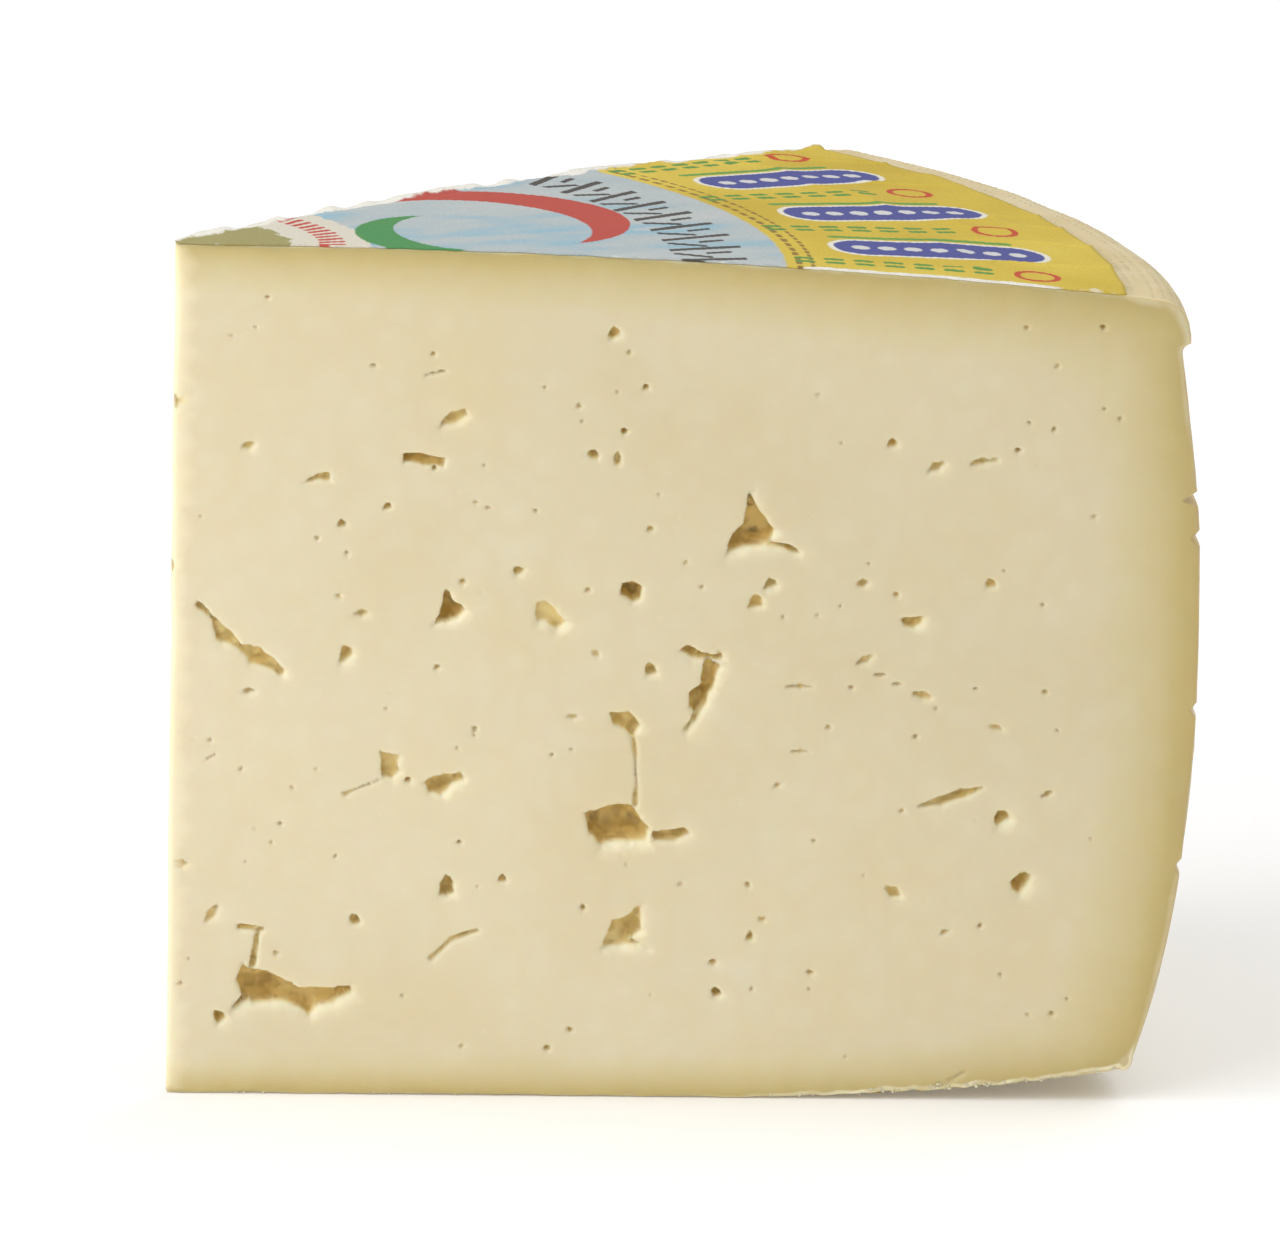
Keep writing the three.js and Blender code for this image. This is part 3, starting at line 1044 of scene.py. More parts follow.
@dataclass
class Cheese(OnWheel):
    """The wedge of paste with its rind, as one closed mesh.

    Attributes:
        paste: finish of the cut faces.
        rind: finish of the outside.
        rib_pitch: distance between the ribs that the mould's lining presses into the side.
        rib_height: their height.
        tip_round: radius of the tip edge.
        tip_highlight: how pale the tip edge is.
        tip_rows: heights of the tip edge's points.
        edge_steps: rows of points in half of a knife-cut edge's rounding.
        frayed: the underside's edge frays between these distances from the axis.
        dry: depth of the drier paste under the side, the top and the underside.
        cap_spacing: of the points under the label and on the flat underside.
        rind_from: the rind's rows start on the underside and end on the dome at these distances.
        hollow_depth: the painted golden bounce light inside an opening is at its strongest this deep.
    """

    paste: "KnifeCutPaste"
    rind: "ClothPressedRind"
    rib_pitch: float = 1.2
    rib_height: float = 0.16
    tip_round: float = 0.95
    # Painted highlight: the tip edge's rounding is painted pale where it catches the light from the left.
    tip_highlight: float = 0.45
    tip_rows: int = 110
    edge_steps: int = 3
    frayed: Pair = (96.0, 122.0)
    dry: Triple = (17.0, 9.0, 6.5)
    cap_spacing: float = 5.0
    rind_from: Pair = (150.0, 154.0)
    hollow_depth: float = 3.2

    def edge_radius(self, line: Array, parts: Array, lie: Lie) -> Array:
        """Rounding of a knife-cut edge at each point of the outline.

        The blade leaves the top crisp under the label, and tears the underside a little as it comes out.

        Args:
            line: the outline's points.
            parts: their parts.
            lie: which of the two cuts.

        Returns:
            A radius for each point.
        """
        along = walked(line)
        torn = Unevenness(5.0, 71 + lie).at(along) + Unevenness(1.9, 73).at(along)
        under = 0.55 + 0.25 * torn + 0.35 * smoothstep(*self.frayed, line[:, 0])
        base = np.select([parts == Part.DOME, parts == Part.UNDERSIDE], [0.2, under], 0.5 + 0.12 * torn)
        return np.clip(base, 0.15, 1.3)

    def build(self) -> Piece:
        """Build the wedge, with its openings and edges, and press the ribs of the mould into its side.

        Returns:
            The finished piece.
        """
        line, normals, parts = self.wheel.outline()
        half = self.wheel.half
        surface = Surface(("hollow", "paste_depth", "press", "lip"))
        loops, radii = {}, {}
        for lie in Lie:
            relief = self.wheel.relief(np.full(len(line), lie * half), line, parts)
            frayed = smoothstep(*self.frayed, line[:, 0]) * (parts == Part.UNDERSIDE)
            relief += frayed * (0.22 * Unevenness(1.4, 75 + lie).at(line[:, 0], line[:, 1]) - 0.05)
            loops[lie] = line + normals * relief[:, None]
            radii[lie] = self.edge_radius(line, parts, lie)
        heights, tip_index = self._tip_edge(surface)
        border: dict[Lie, Array] = {}
        for lie in Lie:
            border[lie] = self._border(surface, lie, loops[lie], normals, radii[lie], parts, tip_index)
        for lie, openings, finest in ((Lie.NEAR, near_openings(), 0.36), (Lie.FAR, far_openings(), 0.42)):
            face = CutFace(self.wheel, lie, openings, finest)
            self._face(
                surface, face, loops[lie], normals, radii[lie], border[lie], tip_index, heights, parts
            )
        first, last, grid = self._rind(surface, line, normals, parts, radii, border)
        self._cap(surface, border, grid[-1], last, line, up=True)
        self._cap(surface, border, grid[0], first, line, up=False)
        made = surface.made("cheese_wedge", [self.paste.material(), self.rind.material()])
        log.info("%s: %d points before pressing", made.name, len(made.data.vertices))
        return self._pressed(made)

    def _tip_round_at(self, up: Array) -> Array:
        """Radius of the tip edge at a height."""
        return self.tip_round * (1 + 0.10 * Unevenness(11, 81).at(up))

    def _tip_edge(self, surface: Surface) -> tuple[Array, Array]:
        """Add the points of the tip edge, from the table up.

        Args:
            surface: the mesh in the making.

        Returns:
            Their heights and indices.
        """
        heights = np.linspace(0, self.wheel.height, self.tip_rows)
        radius = self._tip_round_at(heights)
        back = radius / math.sin(self.wheel.half) - radius
        up = heights.copy()
        up[0] += 0.2
        up[-1] -= 0.1
        points = np.stack([self.tip + back, 0 * back, up], axis=1)
        depth = self._depth(back * 0, heights)
        # The tip edge's points carry its painted highlight.
        return heights, surface.add(points, paste_depth=depth, lip=self.tip_highlight)

    def _depth(self, out: Array, up: Array) -> Array:
        """How deep in the paste a place is.

        Args:
            out: distance from the axis.
            up: height.

        Returns:
            From 0 at the rind to 1 where the paste is pale and even.
        """
        at_side, at_top, at_floor = self.dry
        line, _, parts = self.wheel.outline()
        side = line[self.wheel.is_side(parts)]
        floor = np.interp(out, *line[parts == Part.UNDERSIDE].T)
        from_side = (np.interp(up, side[:, 1], side[:, 0]) - out) / at_side
        share = (out / self.wheel.radius) ** 2
        from_top = (self.wheel.top(out) - up) / (at_top + 9.0 * share)
        from_floor = (up - floor) / (at_floor + 4.5 * share)
        stack = np.clip(np.stack([from_side, from_top, from_floor]), 0, 4)
        return np.clip(-np.log(np.exp(-5 * stack).sum(axis=0)) / 5 + 0.02, 0, 1)

    def _border(
        self,
        surface: Surface,
        lie: Lie,
        loop: Array,
        normals: Array,
        radius: Array,
        parts: Array,
        tip_index: Array,
    ) -> Array:
        """Add the points where a cut face meets the outside, rounded over.

        Args:
            surface: the mesh in the making.
            lie: which of the two cuts.
            loop: the outline at this cut.
            normals: its normals.
            radius: rounding at each of its points.
            parts: their parts.
            tip_index: the indices of the tip edge's points.

        Returns:
            An index for each point of the outline. The first and last are the tip edge's own ends.
        """
        corner = 1 - math.sqrt(0.5)
        moved = loop - normals * (radius * corner)[:, None]
        angle = lie * (self.wheel.half - radius * corner / np.maximum(loop[:, 0], 1.0))
        points = self.placed(moved[:, 0], angle, moved[:, 1])
        inner = slice(1, -1)
        index = surface.add(points[inner], paste_depth=0.1, press=self._press(loop, parts)[inner], lip=0.1)
        return np.concatenate([tip_index[:1], index, tip_index[-1:]])

    def _press(self, line: Array, parts: Array) -> Array:
        """How strongly the mould's ribs mark the outside.

        Args:
            line: the outline's points.
            parts: their parts.

        Returns:
            From 0 to 1 for each point.
        """
        foot, top = self.wheel.heel[1] + 5, self.wheel.lid_step[1]
        side = smoothstep(foot, foot + 6, line[:, 1]) * (1 - smoothstep(top - 5, top - 1, line[:, 1]))
        return np.where(parts == Part.SIDE, side, 0.0)

    def _face(
        self,
        surface: Surface,
        face: CutFace,
        loop: Array,
        normals: Array,
        radius: Array,
        border: Array,
        tip_index: Array,
        heights: Array,
        parts: Array,
    ) -> None:
        """Add one cut face.

        Args:
            surface: the mesh in the making.
            face: the face and its openings.
            loop: the outline at this cut.
            normals: its normals.
            radius: rounding at each of its points.
            border: the indices of its points.
            tip_index: the indices of the tip edge's points.
            heights: and their heights.
            parts: the outline's parts.
        """
        side = loop[self.wheel.is_side(parts)]
        floor, top = loop[parts == Part.UNDERSIDE], loop[parts == Part.DOME][::-1]

        def margin(points: Array) -> Array:
            """How far points lie inside the outline.

            Args:
                points: (n, 2) places in the face.

            Returns:
                The distances.
            """
            inside = np.interp(points[:, 1], side[:, 1], side[:, 0]) - points[:, 0]
            below = np.interp(points[:, 0], top[:, 0], top[:, 1]) - points[:, 1]
            above = points[:, 1] - np.interp(points[:, 0], floor[:, 0], floor[:, 1])
            return np.min([inside, below, above, points[:, 0] - self.tip_round * 2.2], axis=0)

        lattice = face.lattice(margin)
        rows, row_moved, row_sunk = [], [], []
        clear = loop[:, 0] > self.tip_round * 3 + 0.8
        for step in range(1, self.edge_steps + 1):
            share = step / self.edge_steps
            turn = math.pi / 4 * (1 + share)
            rows.append(loop[clear] - normals[clear] * (radius * share)[clear][:, None])
            back = radius * (1 - math.cos(turn))
            row_moved.append(loop[clear] - normals[clear] * back[clear][:, None])
            row_sunk.append((radius * (1 - math.sin(turn)))[clear])
        calm_row = loop[clear] - normals[clear] * (radius[clear] + 0.3)[:, None]
        rows.append(calm_row)
        row_moved.append(calm_row)
        row_sunk.append(np.zeros(len(calm_row)))
        tip_rows, tip_turns = [], []
        inner = slice(1, -1)
        for share in (0.25, 0.5, 0.75, 1.0):
            tangent = self._tip_round_at(heights[inner]) / math.tan(self.wheel.half)
            tip_rows.append(np.stack([tangent * share, heights[inner]], axis=1))
            tip_turns.append(np.full(len(tangent), share))
        tip_flat, tip_share = np.vstack(tip_rows), np.concatenate(tip_turns)
        keep = (tip_flat[:, 1] > 0.5) & (tip_flat[:, 1] < self.wheel.height - 0.5)
        tip_flat, tip_share = tip_flat[keep], tip_share[keep]

        outline = np.vstack([loop, np.stack([0 * heights[inner], heights[inner]], axis=1)[::-1]])
        outline_index = np.concatenate([border, tip_index[inner][::-1]])
        edge_flat = np.vstack(rows)
        flat = np.vstack([edge_flat, tip_flat, lattice])
        facets = triangulated(outline, flat)

        # lip holds the painted highlight on the openings' lower lips.
        moved, sunk, lip = face.sunk(flat)
        edge, tip = len(edge_flat), len(edge_flat) + len(tip_flat)
        moved[:edge] += np.vstack(row_moved) - edge_flat
        sunk[:edge] += np.concatenate(row_sunk)
        half, sign = self.wheel.half, face.lie
        wave = 0.22 * Unevenness(38, 91 + sign).at(*flat.T) + 0.05 * Unevenness(9, 92).at(*flat.T)
        calm = smoothstep(0.8, 6.0, margin(flat))
        depth = sunk + wave * calm
        run = np.array([math.cos(half), sign * math.sin(half)])
        inward = np.array([math.sin(half), -sign * math.cos(half)])
        plan = moved[:, :1] * run + depth[:, None] * inward
        ball = self._tip_round_at(tip_flat[:, 1])
        bearing = tip_share * (math.pi / 2 - half)
        plan[edge:tip, 0] = ball / math.sin(half) - ball * np.cos(bearing)
        plan[edge:tip, 1] = sign * ball * np.sin(bearing)
        plan[edge:tip] += sunk[edge:tip, None] * inward
        points = np.column_stack([plan[:, 0] + self.tip, plan[:, 1], moved[:, 1]])
        gap, _ = face.openings.field(flat)
        # hollow sets how strongly the painted golden bounce light tints a point inside an opening.
        hollow = np.clip(sunk / self.hollow_depth, 0, 1) * smoothstep(0.25, -0.35, gap)
        hollow[:edge] = 0
        # Painted highlight along the tip edge's rounding.
        lip[edge:tip] = np.maximum(lip[edge:tip], self.tip_highlight)
        row_out = loop[clear][:, 0]
        torn = parts[clear] <= Part.HEEL
        pale = 0.62 + 0.3 * Unevenness(2.0, 77).at(row_out)
        pale = torn * smoothstep(84, 118, row_out) * pale
        lip[:edge] = np.maximum(lip[:edge], np.concatenate([np.tile(pale, self.edge_steps), 0 * pale]))
        index = surface.add(points, hollow=hollow, paste_depth=self._depth(*flat.T), lip=lip)
        facets = np.concatenate([outline_index, index])[facets]
        surface.fill(facets if face.lie is Lie.NEAR else facets[:, ::-1], 0)
        log.info("cut face %s: %d triangles", face.lie.name.lower(), len(facets))

    def _rind(
        self,
        surface: Surface,
        line: Array,
        normals: Array,
        parts: Array,
        radii: dict[Lie, Array],
        border: dict[Lie, Array],
    ) -> tuple[int, int, Array]:
        """Add the outside from the underside's outer edge, over the side, to the edge of the label.

        Args:
            surface: the mesh in the making.
            line: the outline.
            normals: its normals.
            parts: its points' parts.
            radii: rounding at each of its points, for the two cuts.
            border: indices of its points at the two cuts.

        Returns:
            The outline's first and last row in it, and the indices of all its points, row by row.
        """
        first = int(np.flatnonzero(line[:, 0] > self.rind_from[0])[0])
        last = int(np.flatnonzero((parts == Part.DOME) & (line[:, 0] > self.rind_from[1]))[-1])
        rows = np.arange(first, last + 1)
        half, column = self.wheel.half, self.rib_pitch / 3
        reach = self.wheel.radius * half - 1.3
        spread = np.linspace(-reach, reach, int(2 * reach / column) + 1) / self.wheel.radius
        out, up = line[rows, 0], line[rows, 1]
        columns = []
        steps = range(1, self.edge_steps + 1)
        for lie, inwards in ((Lie.NEAR, steps), (Lie.FAR, steps[::-1])):
            if lie is Lie.FAR:
                for angle in spread:
                    columns.append((np.full(len(rows), angle), np.zeros(len(rows))))
            for step in inwards:
                turn = math.pi / 4 * (1 + step / self.edge_steps)
                ring = radii[lie][rows]
                angle = lie * (half - ring * (1 - math.cos(turn)) / out)
                columns.append((angle, ring * (1 - math.sin(turn))))
        index = [border[Lie.NEAR][rows]]
        for angle, sunk in columns:
            proud = self.wheel.relief(angle, line[rows], parts[rows]) - sunk
            points = self.placed(out + normals[rows, 0] * proud, angle, up + normals[rows, 1] * proud)
            press = self._press(line[rows], parts[rows])
            index.append(surface.add(points, press=press))
        index.append(border[Lie.FAR][rows])
        grid = np.stack(index, axis=1)
        quads = np.stack([grid[:-1, :-1], grid[:-1, 1:], grid[1:, 1:], grid[1:, :-1]], axis=-1)
        surface.fill(quads.reshape(-1, 4), 1)
        log.info("rind: %d rows of %d columns", *grid.shape)
        return first, last, grid

    def _cap(
        self, surface: Surface, border: dict[Lie, Array], arc: Array, row: int, line: Array, up: bool
    ) -> None:
        """Close the top under the label, or the underside.

        Args:
            surface: the mesh in the making.
            border: indices of the outline's points at the two cuts.
            arc: indices of the rind's last row.
            row: that row's number in the outline.
            line: the outline.
            up: True for the top.
        """
        near = border[Lie.NEAR][row:][::-1] if up else border[Lie.NEAR][: row + 1]
        far = border[Lie.FAR][row:][:-1] if up else border[Lie.FAR][1 : row + 1][::-1]
        around = np.concatenate([near, arc[1:-1], far])
        known = np.vstack(surface.points)
        outline = known[around][:, :2]
        reach = line[row, 0]
        inner, _ = hexagonal(np.array([0, -reach / 2]), np.array([reach, reach / 2]), self.cap_spacing)
        out, angle = polar(inner)
        edge = out * np.sin(self.wheel.half - np.abs(angle))
        inner = inner[(edge > 2.0) & (out < reach - 2.0)]
        out = np.linalg.norm(inner, axis=1)
        height = self.wheel.top(out) if up else np.interp(out, *line[: row + 1].T)
        inner[:, 0] += self.tip
        facets = triangulated(outline, inner)
        index = surface.add(np.column_stack([inner, height]))
        facets = np.concatenate([around, index])[facets]
        surface.fill(facets if up else facets[:, ::-1], 1)

    def _pressed(self, piece: Piece) -> Piece:
        """Press the fine upright ribs of the mould's lining into the side.

        The tree moves each point of the side along its radius by a wave round the wheel, weaker where the
        curd filled the lining badly, and keeps the wave for the finish to darken the valleys by.

        Args:
            piece: the wedge. It is used up.

        Returns:
            The pressed wedge.
        """
        sizes = {
            "Rib pitch": self.rib_pitch * MM,
            "Rib height": self.rib_height * MM,
            "Wheel radius": self.wheel.radius * MM,
            "Axis": self.tip * MM,
            "Patch size": 14 * MM,
        }
        recipe = Recipe("mould ribs", sizes, 5)
        node, given = recipe.node, recipe.inputs
        place = node("GeometryNodeInputPosition")
        axis = node("CombineXYZ", {"X": given["Axis"]})
        spoke = node("VectorMath", {0: place, 1: axis}, "SUBTRACT")
        level = node("VectorMath", {0: spoke, 1: (1, 1, 0)}, "MULTIPLY")
        outward = node("VectorMath", {0: level}, "NORMALIZE")
        split = node("SeparateXYZ", {0: outward})
        angle = node("Math", {0: split.outputs[1], 1: split.outputs[0]}, "ARCTAN2")
        along = node("Math", {0: angle, 1: given["Wheel radius"]}, "MULTIPLY")
        count = node("Math", {0: along, 1: given["Rib pitch"]}, "DIVIDE")
        phase = node("Math", {0: count, 1: math.tau}, "MULTIPLY")
        wave = node("Math", {0: phase}, "COSINE")
        shift = node("CombineXYZ", {"Z": given["Seed"]})
        sample = node("VectorMath", {0: place, 1: given["Patch size"]}, "DIVIDE")
        moved = node("VectorMath", {0: sample, 1: shift}, "ADD")
        patch = node("TexNoise", {"Vector": moved, "Scale": 1.0, "Detail": 2.0})
        filled = node("MapRange", {"Value": patch, "From Min": 0.3, "From Max": 0.65, "To Min": 0.35})
        press = node("GeometryNodeInputNamedAttribute", {"Name": "press"}, data_type="FLOAT")
        strength = node("Math", {0: press, 1: filled}, "MULTIPLY")
        rib = node("Math", {0: wave, 1: strength}, "MULTIPLY")
        proud = node("Math", {0: rib, 1: given["Rib height"]}, "MULTIPLY")
        offset = node("VectorMath", {0: outward, "Scale": proud}, "SCALE")
        kept = node(
            "GeometryNodeStoreNamedAttribute",
            {"Geometry": given[0], "Name": "rib", "Value": rib},
            data_type="FLOAT",
        )
        shaped = node("GeometryNodeSetPosition", {"Geometry": kept, "Offset": offset})
        recipe.end(shaped, paint=False)
        return recipe.served(piece, self.paste.material())


@dataclass
class Label(OnWheel):
    """The printed paper stuck on the dome, as far as it stays on the wedge.

    Attributes:
        paper: its finish.
        radius: of the whole round label.
        start: the knife took the very centre away.
        thick: thickness of the damp paper with its glue.
        clearance: between the paper and the rind.
        spacing: of its points.
        emboss_pitch: distance between the knobs that the mould's lining pressed into it.
        emboss_height: their height.
    """

    paper: "PrintedPaper"
    radius: float = 156.5
    start: float = 1.8
    thick: float = 0.18
    clearance: float = 0.03
    spacing: float = 0.53
    emboss_pitch: float = 1.7
    emboss_height: float = 0.055

    def build(self) -> Piece:
        """Build the paper and press the lining's pattern into it.

        Returns:
            The finished piece.
        """
        outline = self._outline()
        surface = Surface(("from_cut", "press"))
        upper = self._sheet(surface, outline, self.spacing, True)
        lower = self._sheet(surface, outline, 4.0, False)
        ahead = np.roll(upper, -1)
        walls = np.stack([lower, np.roll(lower, -1), ahead, upper], axis=1)
        surface.fill(walls, 0)
        made = surface.made("label_paper", [self.paper.material()])
        return self._embossed(made)

    def _outline(self) -> Array:
        """Draw the paper's edge in plan.

        Returns:
            (n, 2) points, anticlockwise from the tip: near cut, round edge, far cut.
        """
        half = self.wheel.half
        out = np.arange(self.start, self.radius, 0.5)
        edges = {}
        for lie in Lie:
            fray = 0.22 * Unevenness(3.4, 101 + lie).at(out)
            fray += 0.14 * Unevenness(1.2, 103).at(out) + 0.12
            edges[lie] = np.stack([out, lie * (half + fray / np.maximum(out, 6))], axis=1)
        around = np.linspace(-half, half, 250)[1:-1]
        rim = self.radius + 0.2 * Unevenness(7, 105).at(around * self.radius)
        edge = np.vstack([edges[Lie.NEAR], np.stack([rim, around], axis=1), edges[Lie.FAR][::-1]])
        return (edge[:, 0] * np.stack([np.cos(edge[:, 1]), np.sin(edge[:, 1])])).T

    def _sheet(self, surface: Surface, outline: Array, spacing: float, upper: bool) -> Array:
        """Add one side of the paper.

        Args:
            surface: the mesh in the making.
            outline: the paper's edge in plan.
            spacing: of the points inside.
            upper: True for the printed side.

        Returns:
            The indices of the edge's points.
        """
        reach = self.radius
        inner, _ = hexagonal(np.array([0, -reach / 2]), np.array([reach, reach / 2]), spacing)
        out, angle = polar(inner)
        clear = min(0.6, spacing)
        room = out * np.sin(self.wheel.half - np.abs(angle))
        inner = inner[(room > clear * 0.8) & (out < reach - clear) & (out > self.start + clear)]
        facets = triangulated(outline, inner)
        flat = np.vstack([outline, inner])
        out, angle = polar(flat)
        height = self.wheel.top(out) + self.clearance
        from_cut = np.maximum(0, out * (self.wheel.half - np.abs(angle)))
        if upper:
            height += self.thick + self._lift(out, angle, from_cut)
        points = np.column_stack([flat[:, 0] + self.tip, flat[:, 1], height])
        press = upper * smoothstep(0, 1.2, from_cut) * smoothstep(self.radius, self.radius - 2, out)
        whole = 1.3 * (1 - smoothstep(96, 108, out) + 0.7 * smoothstep(141, 147, out))
        whole = np.where(angle < 0, whole, 0.0)
        index = surface.add(points, from_cut=np.minimum(from_cut + whole, 3.0), press=press)
        surface.fill(index[facets] if upper else index[facets[:, ::-1]], 0)
        return index[: len(outline)]

    def _lift(self, out: Array, angle: Array, from_cut: Array) -> Array:
        """How far the printed side stands off the dome: creases at the rim and frays at the cuts.

        Args:
            out: distance from the axis.
            angle: angle from the wedge's middle plane.
            from_cut: distance from the nearer cut.

        Returns:
            Height over the lowest paper.
        """
        along = out * angle
        crease = 1 - np.abs(Unevenness(8, 111).at(along + out * 0.3, out * 0.45))
        creases = 0.42 * crease**5 * smoothstep(118, 138, out)
        swell = 0.07 * (1 + Unevenness(16, 112).at(along, out))
        curl = np.where(angle < 0, 0.06, 0.50) * (0.8 + Unevenness(4.2, 113).at(out, np.sign(angle) * 9))
        fray = np.maximum(0, curl) * (1 - smoothstep(0, 1.1, from_cut))
        return creases + swell + fray

    def _embossed(self, piece: Piece) -> Piece:
        """Press the knobs of the mould's lining into the paper, as a slanting quilt of small hills.

        Args:
            piece: the paper. It is used up.

        Returns:
            The pressed paper.
        """
        sizes = {"Knob pitch": self.emboss_pitch * MM, "Knob height": self.emboss_height * MM, "Slant": 0.6}
        recipe = Recipe("lining knobs", sizes, 7)
        node, given = recipe.node, recipe.inputs
        place = node("GeometryNodeInputPosition")
        waves = []
        for turn in (0.0, math.pi / 2):
            bearing = node("Math", {0: given["Slant"], 1: turn}, "ADD")
            turned = node("VectorRotate", {"Vector": place, "Angle": bearing}, rotation_type="Z_AXIS")
            across = node("SeparateXYZ", {0: turned})
            count = node("Math", {0: across.outputs[0], 1: given["Knob pitch"]}, "DIVIDE")
            phase = node("Math", {0: count, 1: math.tau, 2: given["Seed"]}, "MULTIPLY_ADD")
            waves.append(node("Math", {0: phase}, "COSINE"))
        hill = node("Math", {0: waves[0], 1: waves[1]}, "MULTIPLY")
        press = node("GeometryNodeInputNamedAttribute", {"Name": "press"}, data_type="FLOAT")
        strength = node("Math", {0: hill, 1: press}, "MULTIPLY")
        proud = node("Math", {0: strength, 1: given["Knob height"]}, "MULTIPLY")
        offset = node("CombineXYZ", {"Z": proud})
        shaped = node("GeometryNodeSetPosition", {"Geometry": given[0], "Offset": offset})
        recipe.end(shaped)
        return recipe.served(piece, self.paper.material())


@dataclass
class PressedKnobs(OnWheel):
    """Small round knobs that the mould's lining leaves on the rim and on the lifted underside.

    Attributes:
        rind: their finish.
        pitch: distance between knobs.
        round: radius of a knob.
        height: how far it stands proud.
    """

    rind: "ClothPressedRind"
    pitch: float = 1.7
    round: float = 0.55
    height: float = 0.09

    def build(self) -> Piece:
        """Scatter the knobs.

        Returns:
            The finished piece.
        """
        places, ways = self._places()
        carrier = loose_points("rind_knobs", places, {"facing": ways})
        sizes = {"Knob radius": self.round * MM, "Knob height": self.height * MM, "Smallest": 0.65}
        recipe = Recipe("rind knobs", sizes, 9)
        node, given = recipe.node, recipe.inputs
        ball = node("GeometryNodeMeshUVSphere", {"Segments": 8, "Rings": 4, "Radius": given["Knob radius"]})
        squash = node("Math", {0: given["Knob height"], 1: given["Knob radius"]}, "DIVIDE")
        flat = node("CombineXYZ", {"X": 1.0, "Y": 1.0, "Z": squash})
        knob = node("GeometryNodeTransform", {"Geometry": ball, "Scale": flat})
        soft = node("GeometryNodeSetShadeSmooth", {"Geometry": knob})
        way = node("GeometryNodeInputNamedAttribute", {"Name": "facing"}, data_type="FLOAT_VECTOR")
        turn = node("FunctionNodeAlignRotationToVector", {"Vector": way}, axis="Z")
        size = node(
            "FunctionNodeRandomValue",
            {"Min": given["Smallest"], "Max": 1.05, "Seed": given["Seed"]},
            data_type="FLOAT",
        )
        spots = node("GeometryNodeMeshToPoints", {0: given[0]})
        placed = node(
            "GeometryNodeInstanceOnPoints",
            {"Points": spots, "Instance": soft, "Rotation": turn, "Scale": size},
        )
        recipe.end(placed)
        return recipe.served(carrier, self.rind.material())

    def _places(self) -> tuple[Array, Array]:
        """Place the knobs in rows.

        Returns:
            Where they stand, and the way that each faces.
        """
        line, normals, parts = self.wheel.outline()
        rng = np.random.default_rng(19)
        rim = (line[:, 1] > self.wheel.lid_step[2] + 0.6) & (line[:, 0] > 156.0)
        under = (parts == Part.UNDERSIDE) & (line[:, 1] > 0.25)
        places, ways = [], []
        for stretch in (rim, under):
            part = line[stretch]
            walk = walked(part)
            for row, at in enumerate(np.arange(0.4, walk[-1], self.pitch)):
                out, up = np.interp(at, walk, part[:, 0]), np.interp(at, walk, part[:, 1])
                normal = np.array([np.interp(at, walk, normals[stretch][:, i]) for i in (0, 1)])
                reach = self.wheel.half - 1.3 / out
                angle = np.arange(-reach + (row % 2) * self.pitch / 2 / out, reach, self.pitch / out)
                angle = angle + rng.normal(0, 0.12, len(angle)) / out
                kind = np.full(len(angle), parts[stretch][0] if stretch is under else Part.RIM)
                spot = np.broadcast_to([out, up], (len(angle), 2))
                proud = self.wheel.relief(angle, spot, kind)
                r, z = out + normal[0] * proud, up + normal[1] * proud
                places.append(self.placed(r, angle, z))
                way = [normal[0] * np.cos(angle), normal[0] * np.sin(angle), 0 * angle + normal[1]]
                ways.append(np.stack(way, axis=1))
        return np.vstack(places), np.vstack(ways)


